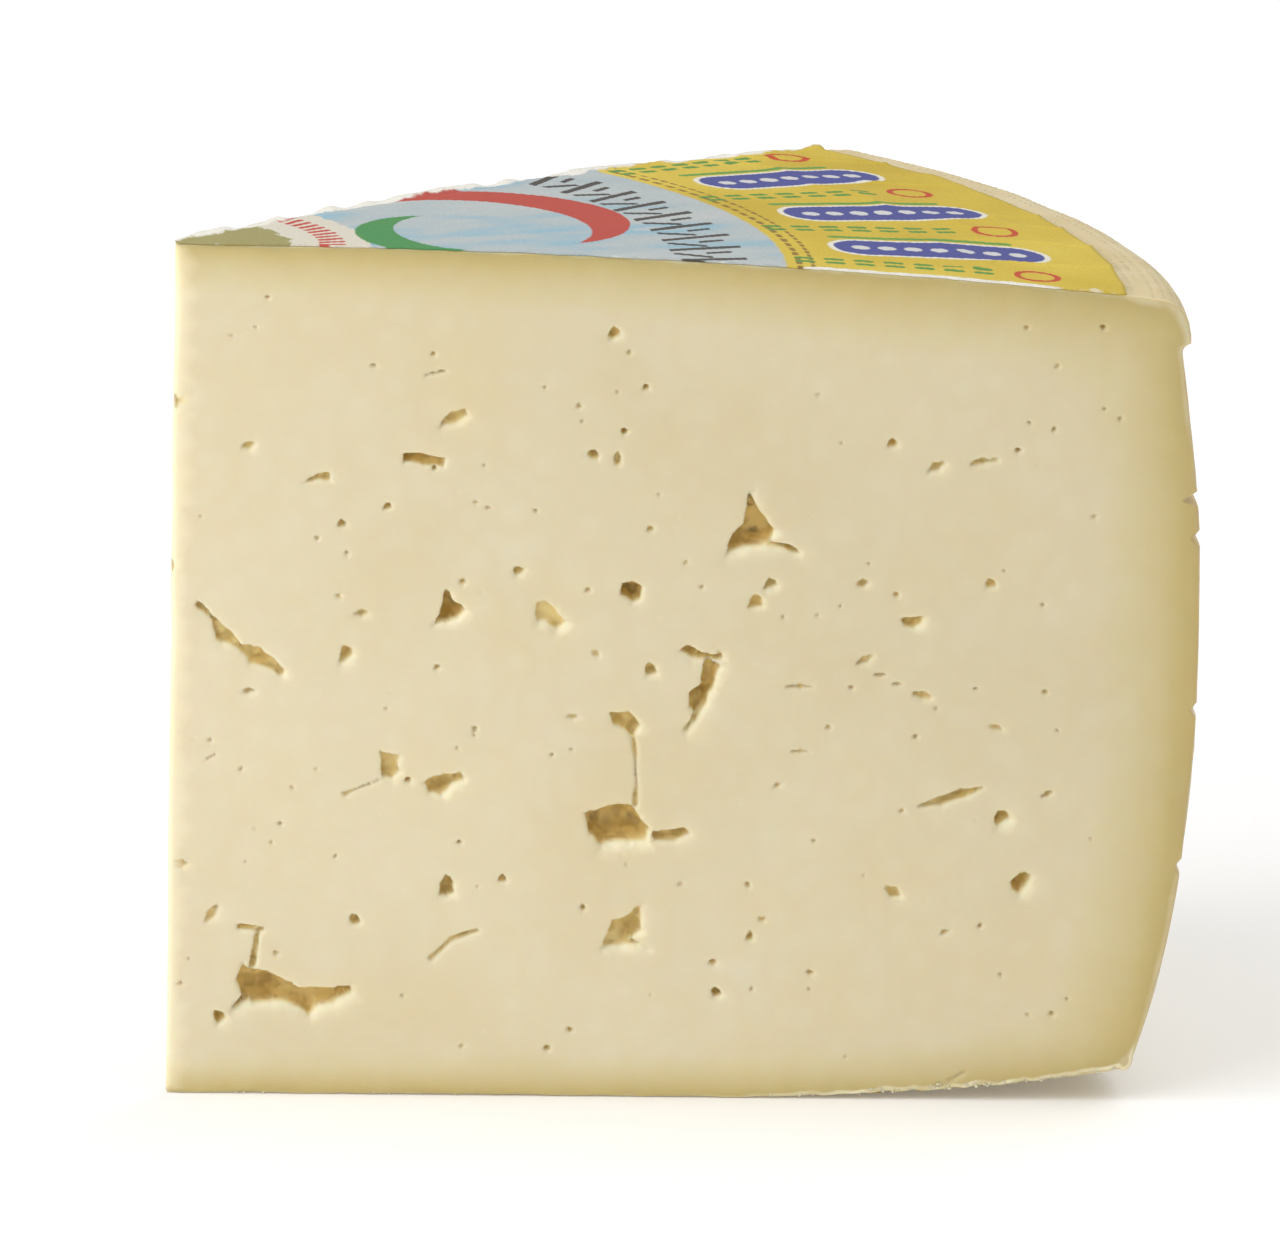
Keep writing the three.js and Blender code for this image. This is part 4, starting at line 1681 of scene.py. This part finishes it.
@dataclass
class Crumbs(OnWheel):
    """Crumbs and torn curd along the bottom edges, where the knife came out of the wheel.

    Attributes:
        paste: their finish.
        count: how many along each cut.
        size: radius of the largest.
    """

    paste: "KnifeCutPaste"
    count: int = 150
    size: float = 0.34

    def build(self) -> Piece:
        """Scatter the crumbs.

        Returns:
            The finished piece.
        """
        places, sizes = self._places()
        values = {"grain": sizes, "lip": 0 * sizes + 0.35, "paste_depth": 0 * sizes + 0.6}
        carrier = loose_points("edge_crumbs", places, values)
        lengths = {"Largest": self.size * MM, "Roughness": 0.22 * MM, "Lump": 0.45 * MM}
        recipe = Recipe("edge crumbs", lengths, 13)
        node, given = recipe.node, recipe.inputs
        ball = node("GeometryNodeMeshUVSphere", {"Segments": 7, "Rings": 5, "Radius": given["Largest"]})
        soft = node("GeometryNodeSetShadeSmooth", {"Geometry": ball})
        size = node("GeometryNodeInputNamedAttribute", {"Name": "grain"}, data_type="FLOAT")
        turn = node(
            "FunctionNodeRandomValue",
            {"Max": (6.3, 6.3, 6.3), "Seed": given["Seed"]},
            data_type="FLOAT_VECTOR",
        )
        stretch = node("CombineXYZ", {"X": 1.35, "Y": 1.0, "Z": 0.75})
        scale = node("VectorMath", {0: stretch, "Scale": size}, "SCALE")
        spots = node("GeometryNodeMeshToPoints", {0: given[0]})
        placed = node(
            "GeometryNodeInstanceOnPoints",
            {"Points": spots, "Instance": soft, "Rotation": turn, "Scale": scale},
        )
        real = node("GeometryNodeRealizeInstances", {"Geometry": placed})
        place = node("GeometryNodeInputPosition")
        sample = node("VectorMath", {0: place, 1: given["Lump"]}, "DIVIDE")
        noise = node("TexNoise", {"Vector": sample, "Scale": 1.0, "Detail": 1.0})
        centred = node("VectorMath", {0: noise.outputs[1], 1: (0.5, 0.5, 0.5)}, "SUBTRACT")
        offset = node("VectorMath", {0: centred, "Scale": given["Roughness"]}, "SCALE")
        shaped = node("GeometryNodeSetPosition", {"Geometry": real, "Offset": offset})
        recipe.end(shaped)
        return recipe.served(carrier, self.paste.material())

    def _places(self) -> tuple[Array, Array]:
        """Place the crumbs, most of them by the heel.

        Returns:
            Where they cling, and how large each is, as a share of the largest.
        """
        line, _, parts = self.wheel.outline()
        floor = line[parts == Part.UNDERSIDE]
        rng = np.random.default_rng(17)
        places, sizes = [], []
        for lie in Lie:
            out = np.concatenate(
                [rng.uniform(12, 158, self.count // 6), rng.normal(140, 14, self.count * 5 // 6)]
            )
            out = out[(out > 8) & (out < 158)]
            size = 0.3 + 0.7 * rng.uniform(0, 1, len(out)) ** 2.5
            aside = rng.uniform(-0.24, -0.06, len(out))
            rise = 0.9 * rng.uniform(0, 1, len(out)) * smoothstep(60, 125, out)
            up = np.interp(out, floor[:, 0], floor[:, 1]) + self.size * size * 0.8 + rise
            angle = lie * (self.wheel.half + aside / out)
            places.append(self.placed(out, angle, up))
            sizes.append(size)
        return np.vstack(places), np.concatenate(sizes)


# ---- Finishes ----


@dataclass
class Finish:
    """A procedural material, made once and then shared."""

    name: str = ""

    def material(self) -> bpy.types.Material:
        """Make the finish's material, or find it where it's made already.

        Returns:
            The material.
        """
        found = bpy.data.materials.get(self.name)
        if found:
            return found
        made = bpy.data.materials.new(self.name)
        made.use_nodes = True
        made.node_tree.nodes.clear()
        shader = self.dressed(made.node_tree)
        add_node(made.node_tree, "OutputMaterial", {"Surface": shader})
        return made

    def dressed(self, tree: Tree) -> Node:
        """Add the finish's nodes and return its shader."""
        raise NotImplementedError

    def place(self, tree: Tree) -> bpy.types.NodeSocket:
        """Add the nodes that give places on the piece, in mm, and return their socket."""
        given = add_node(tree, "TexCoord").outputs["Object"]
        return add_node(tree, "VectorMath", {0: given, "Scale": 1 / MM}, "SCALE").outputs[0]


@dataclass
class KnifeCutPaste(Finish):
    """Pressed semi-soft paste, cut with a long knife.

    To the eye it is a pale, waxy, slightly translucent cream. It turns tan and more transparent towards
    the rind, where it has dried. Inside the openings it is painted golden, for light bouncing wall to wall.

    Attributes:
        mottle: size of the faint curd mottling, mm.
        streak: width of the knife's drag marks, mm.
        grain: size of the fine waxy grain, mm.
    """

    name: str = "pressed paste, knife cut"
    mottle: float = 9.0
    streak: float = 1.4
    grain: float = 0.7

    def dressed(self, tree: Tree) -> Node:
        """Add the paste's nodes.

        Args:
            tree: the material's tree.

        Returns:
            The shader.
        """
        node = partial(add_node, tree)
        place = self.place(tree)
        depth = node("Attribute", attribute_name="paste_depth")
        hollow = node("Attribute", attribute_name="hollow")
        cloud = node("TexNoise", {"Vector": place, "Scale": 1 / self.mottle, "Detail": 3.0})
        upright = node("VectorMath", {0: place, 1: (1, 1, 0.05)}, "MULTIPLY")
        sweep = node("TexNoise", {"Vector": upright, "Scale": 1 / 4.5, "Detail": 2.0})
        swept = node("Math", {0: sweep, 1: 0.12, 2: -0.11}, "MULTIPLY_ADD")
        wander = node("Math", {0: cloud, 1: 0.10, 2: swept}, "MULTIPLY_ADD")
        soft = node("Math", {0: depth.outputs["Fac"], 1: wander}, "ADD", use_clamp=True)
        tone = node(
            "ValToRGB",
            {"Fac": soft},
            stops=(
                (0.0, "ddd5b4"), (0.06, "ccbc84"), (0.22, "d7c892"), (0.45, "e0d3a8"), (0.72, "e6dcb8"),
                (1.0, "eae1c6"),
            ),
        )
        patch = node("TexNoise", {"Vector": place, "Scale": 1 / 42, "Detail": 2.0})
        warmth = ((0.32, "f7efd9"), (0.5, "ffffff"), (0.7, "fff8e4"))
        warm = node("ValToRGB", {"Fac": patch}, stops=warmth)
        curd = node(
            "TexVoronoi", {"Vector": place, "Scale": 1 / 5.5, "Randomness": 1.0}, feature="SMOOTH_F1"
        )
        seams = ((0.0, "fffdf6"), (0.5, "fbf5e6"), (0.9, "ffffff"))
        seam = node("ValToRGB", {"Fac": curd}, stops=seams)
        split = node("SeparateXYZ", {0: place})
        # Painted shade: the face is darkened a little towards the top and towards the rind, so that it reads
        # lighter low down, as though lit from low in front.
        slant = node("Math", {0: split.outputs[2], 1: 1.3, 2: split.outputs[0]}, "MULTIPLY_ADD")
        painted_top_shade = node("MapRange", {"Value": slant, "From Min": 0.0, "From Max": 140.0})
        # Painted bounce light and shade: the openings are tinted golden, the more the deeper they go, for the
        # light that bounces from wall to wall, and mottled darker by noise for the shade on their walls.
        golden = node(
            "ValToRGB",
            {"Fac": hollow.outputs["Fac"]},
            stops=((0.0, "ebdfae"), (0.3, "ecd99b"), (1.0, "e9cd86")),
        )
        wall_shade_noise = node("TexNoise", {"Vector": place, "Scale": 1 / 2.6, "Detail": 1.0})
        painted_wall_shade = node("ValToRGB", {"Fac": wall_shade_noise}, stops=((0.38, "cbbd9e"), (0.55, "ffffff")))
        golden = node(
            "Mix", {"Factor": 0.55, "A": golden, "B": painted_wall_shade}, data_type="RGBA", blend_type="MULTIPLY"
        )
        share = node("MapRange", {"Value": hollow.outputs["Fac"], "From Min": 0.02, "From Max": 0.3})
        # Painted highlight: the lip value paints the lower lips of the openings and the tip edge pale, where
        # their rounding catches the light. The same value makes the torn underside edge pale, which is
        # crumbled paste, and the crumbs and the rounded cut edges a little pale.
        lip = node("Attribute", attribute_name="lip")
        pale = node("MapRange", {"Value": lip.outputs["Fac"], "To Max": 0.95})
        colour = tone
        for factor, layer, blend in (
            (0.35, warm, "MULTIPLY"),
            (0.55, seam, "MULTIPLY"),
            # painted shade, darker towards the top and the rind
            (painted_top_shade, linear("f3f2ee"), "MULTIPLY"),
            # painted golden bounce light and wall shade inside the openings
            (share, golden, "MIX"),
            # painted highlight on the lips and the tip edge, with the paler torn edge and crumbs
            (pale, linear("fff8d8"), "MIX"),
        ):
            colour = node(
                "Mix", {"Factor": factor, "A": colour, "B": layer}, data_type="RGBA", blend_type=blend
            )
        drawn = node("VectorMath", {0: place, 1: (1, 1, 0.06)}, "MULTIPLY")
        drag = node("TexNoise", {"Vector": drawn, "Scale": 1 / self.streak, "Detail": 2.0})
        wax = node("TexNoise", {"Vector": place, "Scale": 1 / self.grain, "Detail": 3.0})
        marks = node("Math", {0: drag, 1: 0.5, 2: wax}, "MULTIPLY_ADD")
        bump = node("Bump", {"Height": marks, "Strength": 0.35, "Distance": 0.08 * MM})
        rough = node("MapRange", {"Value": drag, "To Min": 0.40, "To Max": 0.58})
        return node(
            "BsdfPrincipled",
            {
                "Base Color": colour,
                "Roughness": rough,
                "Normal": bump,
                "IOR": 1.46,
                "Specular IOR Level": 0.42,
                "Subsurface Weight": 0.38,
                "Subsurface Radius": (1.0, 0.62, 0.30),
                "Subsurface Scale": 3.2 * MM,
            },
        )


@dataclass
class ClothPressedRind(Finish):
    """Thin dry rind, pressed in a ribbed mould lining, salted and turned on its shelf.

    To the eye it is a straw tan, darker in the valleys of the pressing and where brine dried, with a dull
    waxy gloss on what stands proud.
    """

    name: str = "thin rind, cloth pressed"

    def dressed(self, tree: Tree) -> Node:
        """Add the rind's nodes.

        Args:
            tree: the material's tree.

        Returns:
            The shader.
        """
        node = partial(add_node, tree)
        place = self.place(tree)
        rib = node("Attribute", attribute_name="rib")
        stain = node("TexNoise", {"Vector": place, "Scale": 1 / 26, "Detail": 5.0})
        tone = node(
            "ValToRGB",
            {"Fac": stain},
            stops=((0.28, "d6c290"), (0.45, "e1d1a5"), (0.6, "e7dbb4"), (0.76, "eee5c5")),
        )
        bloom = node("TexNoise", {"Vector": place, "Scale": 1 / 5, "Detail": 4.0})
        dust = node("MapRange", {"Value": bloom, "From Min": 0.5, "From Max": 0.75, "To Max": 0.35})
        valley = node(
            "MapRange",
            {"Value": rib.outputs["Fac"], "From Min": -0.5, "From Max": 0.6, "To Min": 0.45, "To Max": 0.0},
        )
        colour = tone
        for factor, layer in ((dust, "ece0bf"), (valley, "b8955c")):
            colour = node("Mix", {"Factor": factor, "A": colour, "B": linear(layer)}, data_type="RGBA")
        fine = node("TexNoise", {"Vector": place, "Scale": 1 / 0.8, "Detail": 4.0})
        bump = node("Bump", {"Height": fine, "Strength": 0.5, "Distance": 0.15 * MM})
        rough = node("MapRange", {"Value": bloom, "To Min": 0.42, "To Max": 0.66})
        return node(
            "BsdfPrincipled",
            {
                "Base Color": colour,
                "Roughness": rough,
                "Normal": bump,
                "IOR": 1.46,
                "Specular IOR Level": 0.4,
                "Subsurface Weight": 0.2,
                "Subsurface Radius": (1.0, 0.6, 0.28),
                "Subsurface Scale": 2.4 * MM,
            },
        )


@dataclass(frozen=True)
class Mark:
    """One plain printed shape, repeated round the label.

    Attributes:
        ink: sRGB colour.
        out: distance of its middle from the label's centre.
        half: half its length along the radius and half its width across it.
        corner: radius of its corners.
        repeats: how many round the whole label.
        shift: where it stands in its own share of the ring, from -0.5 to 0.5.
        aside: distance of its middle from there, across the radius.
        lean: slant of its long sides.
        line: width of its outline, or 0 for a filled shape.
        row: how many more of it on each side along the radius, and their pitch.
    """

    ink: str
    out: float
    half: Pair
    corner: float
    repeats: int
    shift: float = 0.0
    aside: float = 0.0
    lean: float = 0.0
    line: float = 0.0
    row: tuple[int, float] = (0, 1.0)


@dataclass(frozen=True)
class Crescent:
    """A plain sickle, as one disc less another.

    Attributes:
        ink: sRGB colour.
        disc: radius from the label's centre, degrees round it, and size of the disc.
        bite: the same for the disc that is taken away.
    """

    ink: str
    disc: Triple
    bite: Triple


@dataclass
class PrintedPaper(Finish):
    """Thin coated paper, offset printed, stuck on damp and pressed on with the rind.

    To the eye it is bright matt ink with a fine woven relief and a faint sheen on the knobs. It has white
    fibres where the knife tore its edge, and a damp, greasy patch near the tip.

    Attributes:
        disc: radius of the pale inner picture.
        patch: radius of the damp patch.
        band: outer radius of the plain white band.
    """

    name: str = "coated paper, offset printed"
    tip: float = 0.0
    disc: float = 101.0
    patch: float = 20.0
    band: float = 33.0
    marks: tuple[Mark, ...] = (
        Mark("bf3626", 27.0, (2.2, 0.55), 0.3, 84, lean=0.25),
        Mark("40372f", 88.5, (6.2, 0.85), 0.4, 66, lean=0.4),
        Mark("40372f", 86.0, (3.2, 0.7), 0.4, 66, shift=0.3, lean=-0.2),
        Mark("40372f", 90.5, (2.2, 0.65), 0.4, 66, shift=-0.32, lean=0.4),
        Mark("8a6a2c", 103.2, (0.5, 1.2), 0.4, 190),
        Mark("8a6a2c", 105.4, (0.35, 0.9), 0.3, 260, shift=0.3),
        Mark("e6e4d8", 128.5, (18.6, 6.3), 6.2, 27),
        Mark("2e3990", 128.5, (17.6, 5.4), 5.3, 27),
        Mark("d9d8d6", 128.5, (1.5, 1.5), 1.5, 27, row=(3, 4.4)),
        Mark("5a9a46", 127.0, (15.5, 0.8), 0.8, 27, aside=7.9),
        Mark("4f8f3e", 119.0, (1.7, 0.75), 0.7, 27, shift=0.5, row=(3, 4.9)),
        Mark("4f8f3e", 119.0, (1.7, 0.75), 0.7, 27, shift=0.5, aside=2.6, row=(3, 4.9)),
        Mark("c23a26", 142.5, (3.9, 3.9), 3.9, 27, shift=0.5, aside=0.8, line=1.1),
    )
    sickles: tuple[Crescent, ...] = (
        Crescent("bb3a22", (60.0, 3.0, 22.0), (52.0, -2.0, 21.0)),
        Crescent("3f8c42", (47.0, -9.0, 15.0), (54.0, -7.0, 15.0)),
    )

    def dressed(self, tree: Tree) -> Node:
        """Add the paper's nodes.

        Args:
            tree: the material's tree.

        Returns:
            The shader.
        """
        node = partial(add_node, tree)
        place = self.place(tree)
        flat = node("VectorMath", {0: place, 1: (-self.tip, 0, 0)}, "ADD")
        plane = node("VectorMath", {0: flat, 1: (1, 1, 0)}, "MULTIPLY")
        split = node("SeparateXYZ", {0: plane})
        out = node("VectorMath", {0: plane}, "LENGTH").outputs["Value"]
        angle = node("Math", {0: split.outputs[1], 1: split.outputs[0]}, "ARCTAN2")
        waver = node("TexNoise", {"Vector": place, "Scale": 1 / 2.5, "Detail": 3.0})
        noise = node("Math", {0: waver, 1: 0.5}, "SUBTRACT")

        streaks = node("VectorMath", {0: place, 1: (0.55, 1.7, 1)}, "MULTIPLY")
        wash = node("TexNoise", {"Vector": streaks, "Scale": 1 / 22, "Detail": 5.0})
        sky = node(
            "ValToRGB",
            {"Fac": wash},
            stops=((0.36, "bdc3c2"), (0.5, "b3bdbf"), (0.6, "92b8c8"), (0.68, "b8c0c1")),
        )
        sun = node("TexNoise", {"Vector": place, "Scale": 1 / 30, "Detail": 2.0})
        yellow = node("ValToRGB", {"Fac": sun}, stops=((0.3, "caae34"), (0.5, "d4b93e"), (0.7, "dec650")))
        paint = self._under(tree, out, noise, self.disc, yellow, sky, 0.6)
        paint = self._under(tree, out, noise, self.band, paint, linear("d8d2c2"), 3.0)
        for shape in (*self.marks, *self.sickles):
            if isinstance(shape, Mark):
                gap = self._mark(tree, shape, out, angle)
            else:
                gap = self._crescent(tree, shape, plane)
            strayed = node("Math", {0: noise, 1: 0.5, 2: gap}, "MULTIPLY_ADD")
            edge = {"From Min": -0.14, "From Max": 0.14, "To Min": 0.94, "To Max": 0.0}
            mask = node("MapRange", {"Value": strayed, **edge})
            paint = node("Mix", {"Factor": mask, "A": paint, "B": linear(shape.ink)}, data_type="RGBA")
        paint = self._under(tree, out, noise, self.patch, paint, linear("a09862"), 6.0)

        cut = node("Attribute", attribute_name="from_cut")
        long = node("TexNoise", {"Vector": place, "Scale": 1 / 9, "Detail": 2.0})
        ragged = node("Math", {0: long, 1: -3.4, 2: cut.outputs["Fac"]}, "MULTIPLY_ADD")
        raised = node("Math", {0: ragged, 1: 1.55}, "ADD")
        torn = node("Math", {0: noise, 1: 1.4, 2: raised}, "MULTIPLY_ADD")
        bare = node(
            "MapRange", {"Value": torn, "From Min": 0.35, "From Max": 0.75, "To Min": 1.0, "To Max": 0.0}
        )
        fibre = node("Mix", {"Factor": bare, "A": paint, "B": linear("efece2")}, data_type="RGBA")
        grain = node("TexNoise", {"Vector": place, "Scale": 1 / 0.45, "Detail": 3.0})
        # Darker by up to a tenth where the grain is low, the same grain that the bump raises.
        pit_darkening = node("ValToRGB", {"Fac": grain}, stops=((0.35, "e6e6e6"), (0.6, "ffffff")))
        pit_darkened = node("Mix", {"Factor": 0.5, "A": fibre, "B": pit_darkening}, data_type="RGBA", blend_type="MULTIPLY")
        bump = node("Bump", {"Height": grain, "Strength": 0.3, "Distance": 0.1 * MM})
        return node(
            "BsdfPrincipled",
            {"Base Color": pit_darkened, "Roughness": 0.52, "Specular IOR Level": 0.4, "Normal": bump},
        )

    def _under(
        self, tree: Tree, out: Any, noise: Any, reach: float, paint: Any, inner: Any, stray: float
    ) -> Node:
        """Lay another colour within a radius, over an uneven edge.

        Args:
            tree: the material's tree.
            out: distance from the label's centre.
            noise: unevenness of the edge.
            reach: the radius.
            paint: the colour outside it.
            inner: the colour inside it.
            stray: how uneven the edge is, mm.

        Returns:
            The node that gives the colour.
        """
        node = partial(add_node, tree)
        strayed = node("Math", {0: noise, 1: stray, 2: out}, "MULTIPLY_ADD")
        within = node(
            "MapRange",
            {
                "Value": strayed,
                "From Min": reach - 0.3,
                "From Max": reach + 0.3,
                "To Min": 1.0,
                "To Max": 0.0,
            },
        )
        return node("Mix", {"Factor": within, "A": paint, "B": inner}, data_type="RGBA")

    def _mark(self, tree: Tree, mark: Mark, out: Any, angle: Any) -> Node:
        """Add the nodes for one printed mark.

        Args:
            tree: the material's tree.
            mark: the shape.
            out: distance from the label's centre.
            angle: angle round it.

        Returns:
            The node that gives the distance from the mark's edge, negative inside.
        """
        node = partial(add_node, tree)
        share = mark.repeats / math.tau
        turns = node("Math", {0: angle, 1: share, 2: 0.5 - mark.shift}, "MULTIPLY_ADD")
        part = node("Math", {0: turns}, "FRACT")
        middle = node("Math", {0: part, 1: 0.5}, "SUBTRACT")
        width = node("Math", {0: out, 1: 1 / share}, "MULTIPLY")
        along = node("Math", {0: out, 1: mark.out}, "SUBTRACT")
        skew = node("Math", {0: along, 1: -mark.lean, 2: -mark.aside}, "MULTIPLY_ADD")
        across = node("Math", {0: middle, 1: width, 2: skew}, "MULTIPLY_ADD")
        more, pitch = mark.row
        if more:
            step = node("Math", {0: along, 1: pitch}, "DIVIDE")
            nearest = node("Math", {0: step}, "ROUND")
            held = node("Clamp", {"Value": nearest, "Min": -more, "Max": more})
            along = node("Math", {0: held, 1: -pitch, 2: along}, "MULTIPLY_ADD")
        spot = node("CombineXYZ", {"X": along, "Y": across})
        folded = node("VectorMath", {0: spot}, "ABSOLUTE")
        core = tuple(size - mark.corner for size in mark.half)
        beyond = node("VectorMath", {0: folded, 1: (*core, 0)}, "SUBTRACT")
        clipped = node("VectorMath", {0: beyond, 1: (0, 0, 0)}, "MAXIMUM")
        reach = node("VectorMath", {0: clipped}, "LENGTH").outputs["Value"]
        gap = node("Math", {0: reach, 1: mark.corner}, "SUBTRACT")
        if mark.line:
            gap = node("Math", {0: gap, 1: mark.line / 2}, "ADD")
            gap = node("Math", {0: gap}, "ABSOLUTE")
            gap = node("Math", {0: gap, 1: mark.line / 2}, "SUBTRACT")
        return gap

    def _crescent(self, tree: Tree, sickle: Crescent, plane: Any) -> Node:
        """Add the nodes for one crescent.

        Args:
            tree: the material's tree.
            sickle: the shape.
            plane: place on the label, from its centre.

        Returns:
            The node that gives the distance from the crescent's edge, negative inside.
        """
        node = partial(add_node, tree)
        gaps = []
        for out, degrees, size in (sickle.disc, sickle.bite):
            turn = math.radians(degrees)
            centre = (out * math.cos(turn), out * math.sin(turn), 0)
            far = node("VectorMath", {0: plane, 1: centre}, "DISTANCE").outputs["Value"]
            gaps.append(node("Math", {0: far, 1: size}, "SUBTRACT"))
        left = node("Math", {0: gaps[1], 1: -1}, "MULTIPLY")
        return node("Math", {0: gaps[0], 1: left}, "MAXIMUM")


@dataclass
class StudioBoard(Finish):
    """Opal acrylic board, matt, lit a little from beneath: an even pale ground with soft shadows."""

    name: str = "opal acrylic board, matt"

    def dressed(self, tree: Tree) -> Node:
        """Add the board's shader, which glows more far out, where the lamps no longer reach.

        Args:
            tree: the material's tree.

        Returns:
            The shader.
        """
        node = partial(add_node, tree)
        away = node("VectorMath", {0: self.place(tree)}, "LENGTH").outputs["Value"]
        glow = node(
            "MapRange",
            {"Value": away, "From Min": 100.0, "From Max": 1800.0, "To Min": 0.11, "To Max": 0.70},
            interpolation_type="SMOOTHSTEP",
        )
        return node(
            "BsdfPrincipled",
            {
                "Base Color": linear("f7f7f7"),
                "Roughness": 0.9,
                "Emission Color": linear("ffffff"),
                "Emission Strength": glow,
            },
        )


# ---- The studio ----


@dataclass
class SoftBox:
    """A large square lamp that looks at the wedge.

    Attributes:
        bearing: degrees round the wedge, as the camera's azimuth.
        rise: degrees above the table.
        away: distance, m.
        size: side, m.
        power: watts.
        tint: sRGB colour.
    """

    name: str
    bearing: float
    rise: float
    away: float
    size: float
    power: float
    tint: str = "ffffff"

    def hung(self, target: Vector) -> None:
        """Hang the lamp, looking at a target.

        Args:
            target: the place that it looks at.
        """
        lamp = bpy.data.lights.new(self.name, "AREA")
        lamp.shape, lamp.size, lamp.energy = "SQUARE", self.size, self.power
        lamp.color = linear(self.tint)[:3]
        piece = in_scene(self.name, lamp)
        back = direction(self.bearing, self.rise)
        piece.location = target + back * self.away
        piece.rotation_euler = back.to_track_quat("Z", "Y").to_euler()


def direction(bearing: float, rise: float) -> Vector:
    """Unit vector towards a bearing round the wedge and a rise above the table, both in degrees."""
    a, e = math.radians(bearing), math.radians(rise)
    return Vector((math.sin(a) * math.cos(e), -math.cos(a) * math.cos(e), math.sin(e)))


@dataclass
class Studio:
    """Floor, light and camera.

    A lamp is its name, bearing, rise, distance, size, power and tint.

    Attributes:
        azimuth: the camera's bearing round the wedge, degrees.
        elevation: its height above the table, degrees.
        roll: turn about its own axis, degrees.
        distance: from the wedge's middle, m.
        width: what the picture's width takes in at the wedge, m.
        sensor: width of the camera's sensor, mm.
        floor_reach: from the middle of the floor to its sides, m.
        sky: strength of the light from all round.
    """

    azimuth: float = -24.3
    elevation: float = 13.6
    roll: float = 1.0
    distance: float = 3.0
    width: float = 0.212
    sensor: float = 36.0
    floor_reach: float = 14.0
    sky: float = 0.32

    def set_up(self) -> None:
        """Make the floor, the lamps, the sky and the camera."""
        low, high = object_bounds()
        middle = (low + high) / 2
        self._floor(low.z)
        for lamp in (
            SoftBox("key", -75, 38, 0.8, 0.8, 3.6, "fffcf8"),
            SoftBox("edge", -108, 24, 1.6, 0.8, 4.65, "fffdfa"),
            SoftBox("fill", 25, 25, 2.0, 1.6, 0.62, "f6f8ff"),
            SoftBox("back", 105, 55, 1.6, 1.2, 8.2),
            SoftBox("overhead", 0, 88, 1.5, 1.8, 7.4),
        ):
            lamp.hung(middle)
        world = bpy.data.worlds.new("pale sky")
        world.use_nodes = True
        sky = next(n for n in world.node_tree.nodes if n.type == "BACKGROUND")
        sky.inputs["Color"].default_value = linear("ffffff")
        sky.inputs["Strength"].default_value = self.sky
        bpy.context.scene.world = world
        bpy.context.scene.view_settings.view_transform = "Standard"
        self._camera(middle)

    def _floor(self, height: float) -> None:
        """Lay a wide flat floor.

        Args:
            height: of its surface, m.
        """
        mesh = bpy.data.meshes.new("floor")
        reach = self.floor_reach
        corners = ((-reach, -reach), (reach, -reach), (reach, reach), (-reach, reach))
        mesh.from_pydata([(x, y, height) for x, y in corners], [], [(0, 1, 2, 3)])
        mesh.materials.append(StudioBoard().material())
        in_scene("floor", mesh)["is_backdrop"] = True

    def _camera(self, middle: Vector) -> None:
        """Set the camera.

        Args:
            middle: the wedge's middle, which it looks at.
        """
        data = bpy.data.cameras.new("camera")
        data.sensor_width = self.sensor
        data.lens = self.sensor * self.distance / self.width
        data.clip_end = 100
        camera = in_scene("camera", data)
        back = direction(self.azimuth, self.elevation)
        camera.location = middle + back * self.distance
        turn = back.to_track_quat("Z", "Y").to_matrix() @ Matrix.Rotation(math.radians(self.roll), 3, "Z")
        camera.rotation_euler = turn.to_euler()
        bpy.context.scene.camera = camera


def report(piece: Piece) -> None:
    """Log a piece's size and whether its mesh is closed.

    Args:
        piece: the finished piece.
    """
    mesh = piece.data
    triangles = sum(len(p.vertices) - 2 for p in mesh.polygons)
    pairs = np.zeros(len(mesh.loops), np.int32)
    mesh.loops.foreach_get("edge_index", pairs)
    open_edges = int((np.bincount(pairs, minlength=len(mesh.edges)) != 2).sum())
    log.info("%s: %d triangles, %d open edges", piece.name, triangles, open_edges)


def main() -> None:
    """Build the wedge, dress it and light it."""
    logging.basicConfig(level=logging.INFO, format="%(name)s: %(message)s")
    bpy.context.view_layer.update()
    low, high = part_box("cheese")
    wheel = Wheel(
        radius=(high.x - low.x) / MM,
        height=high.z / MM,
        slice_angle=2 * math.asin(high.y / (high.x - low.x)),
    )
    tip = low.x / MM
    paste, rind, paper = KnifeCutPaste(), ClothPressedRind(), PrintedPaper(tip=tip)
    cheese = Cheese(wheel, tip, paste, rind).build()
    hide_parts("cheese")
    label = Label(wheel, tip, paper).build()
    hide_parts("label")
    knobs = PressedKnobs(wheel, tip, rind).build()
    crumbs = Crumbs(wheel, tip, paste).build()
    slots = {cheese: "cheese_paste", label: "label_paper", knobs: "cheese_paste", crumbs: "cheese_paste"}
    for piece, slot in slots.items():
        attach(piece, BODY)
        report(piece)
    Studio().set_up()


if __name__ == "__main__":
    main()
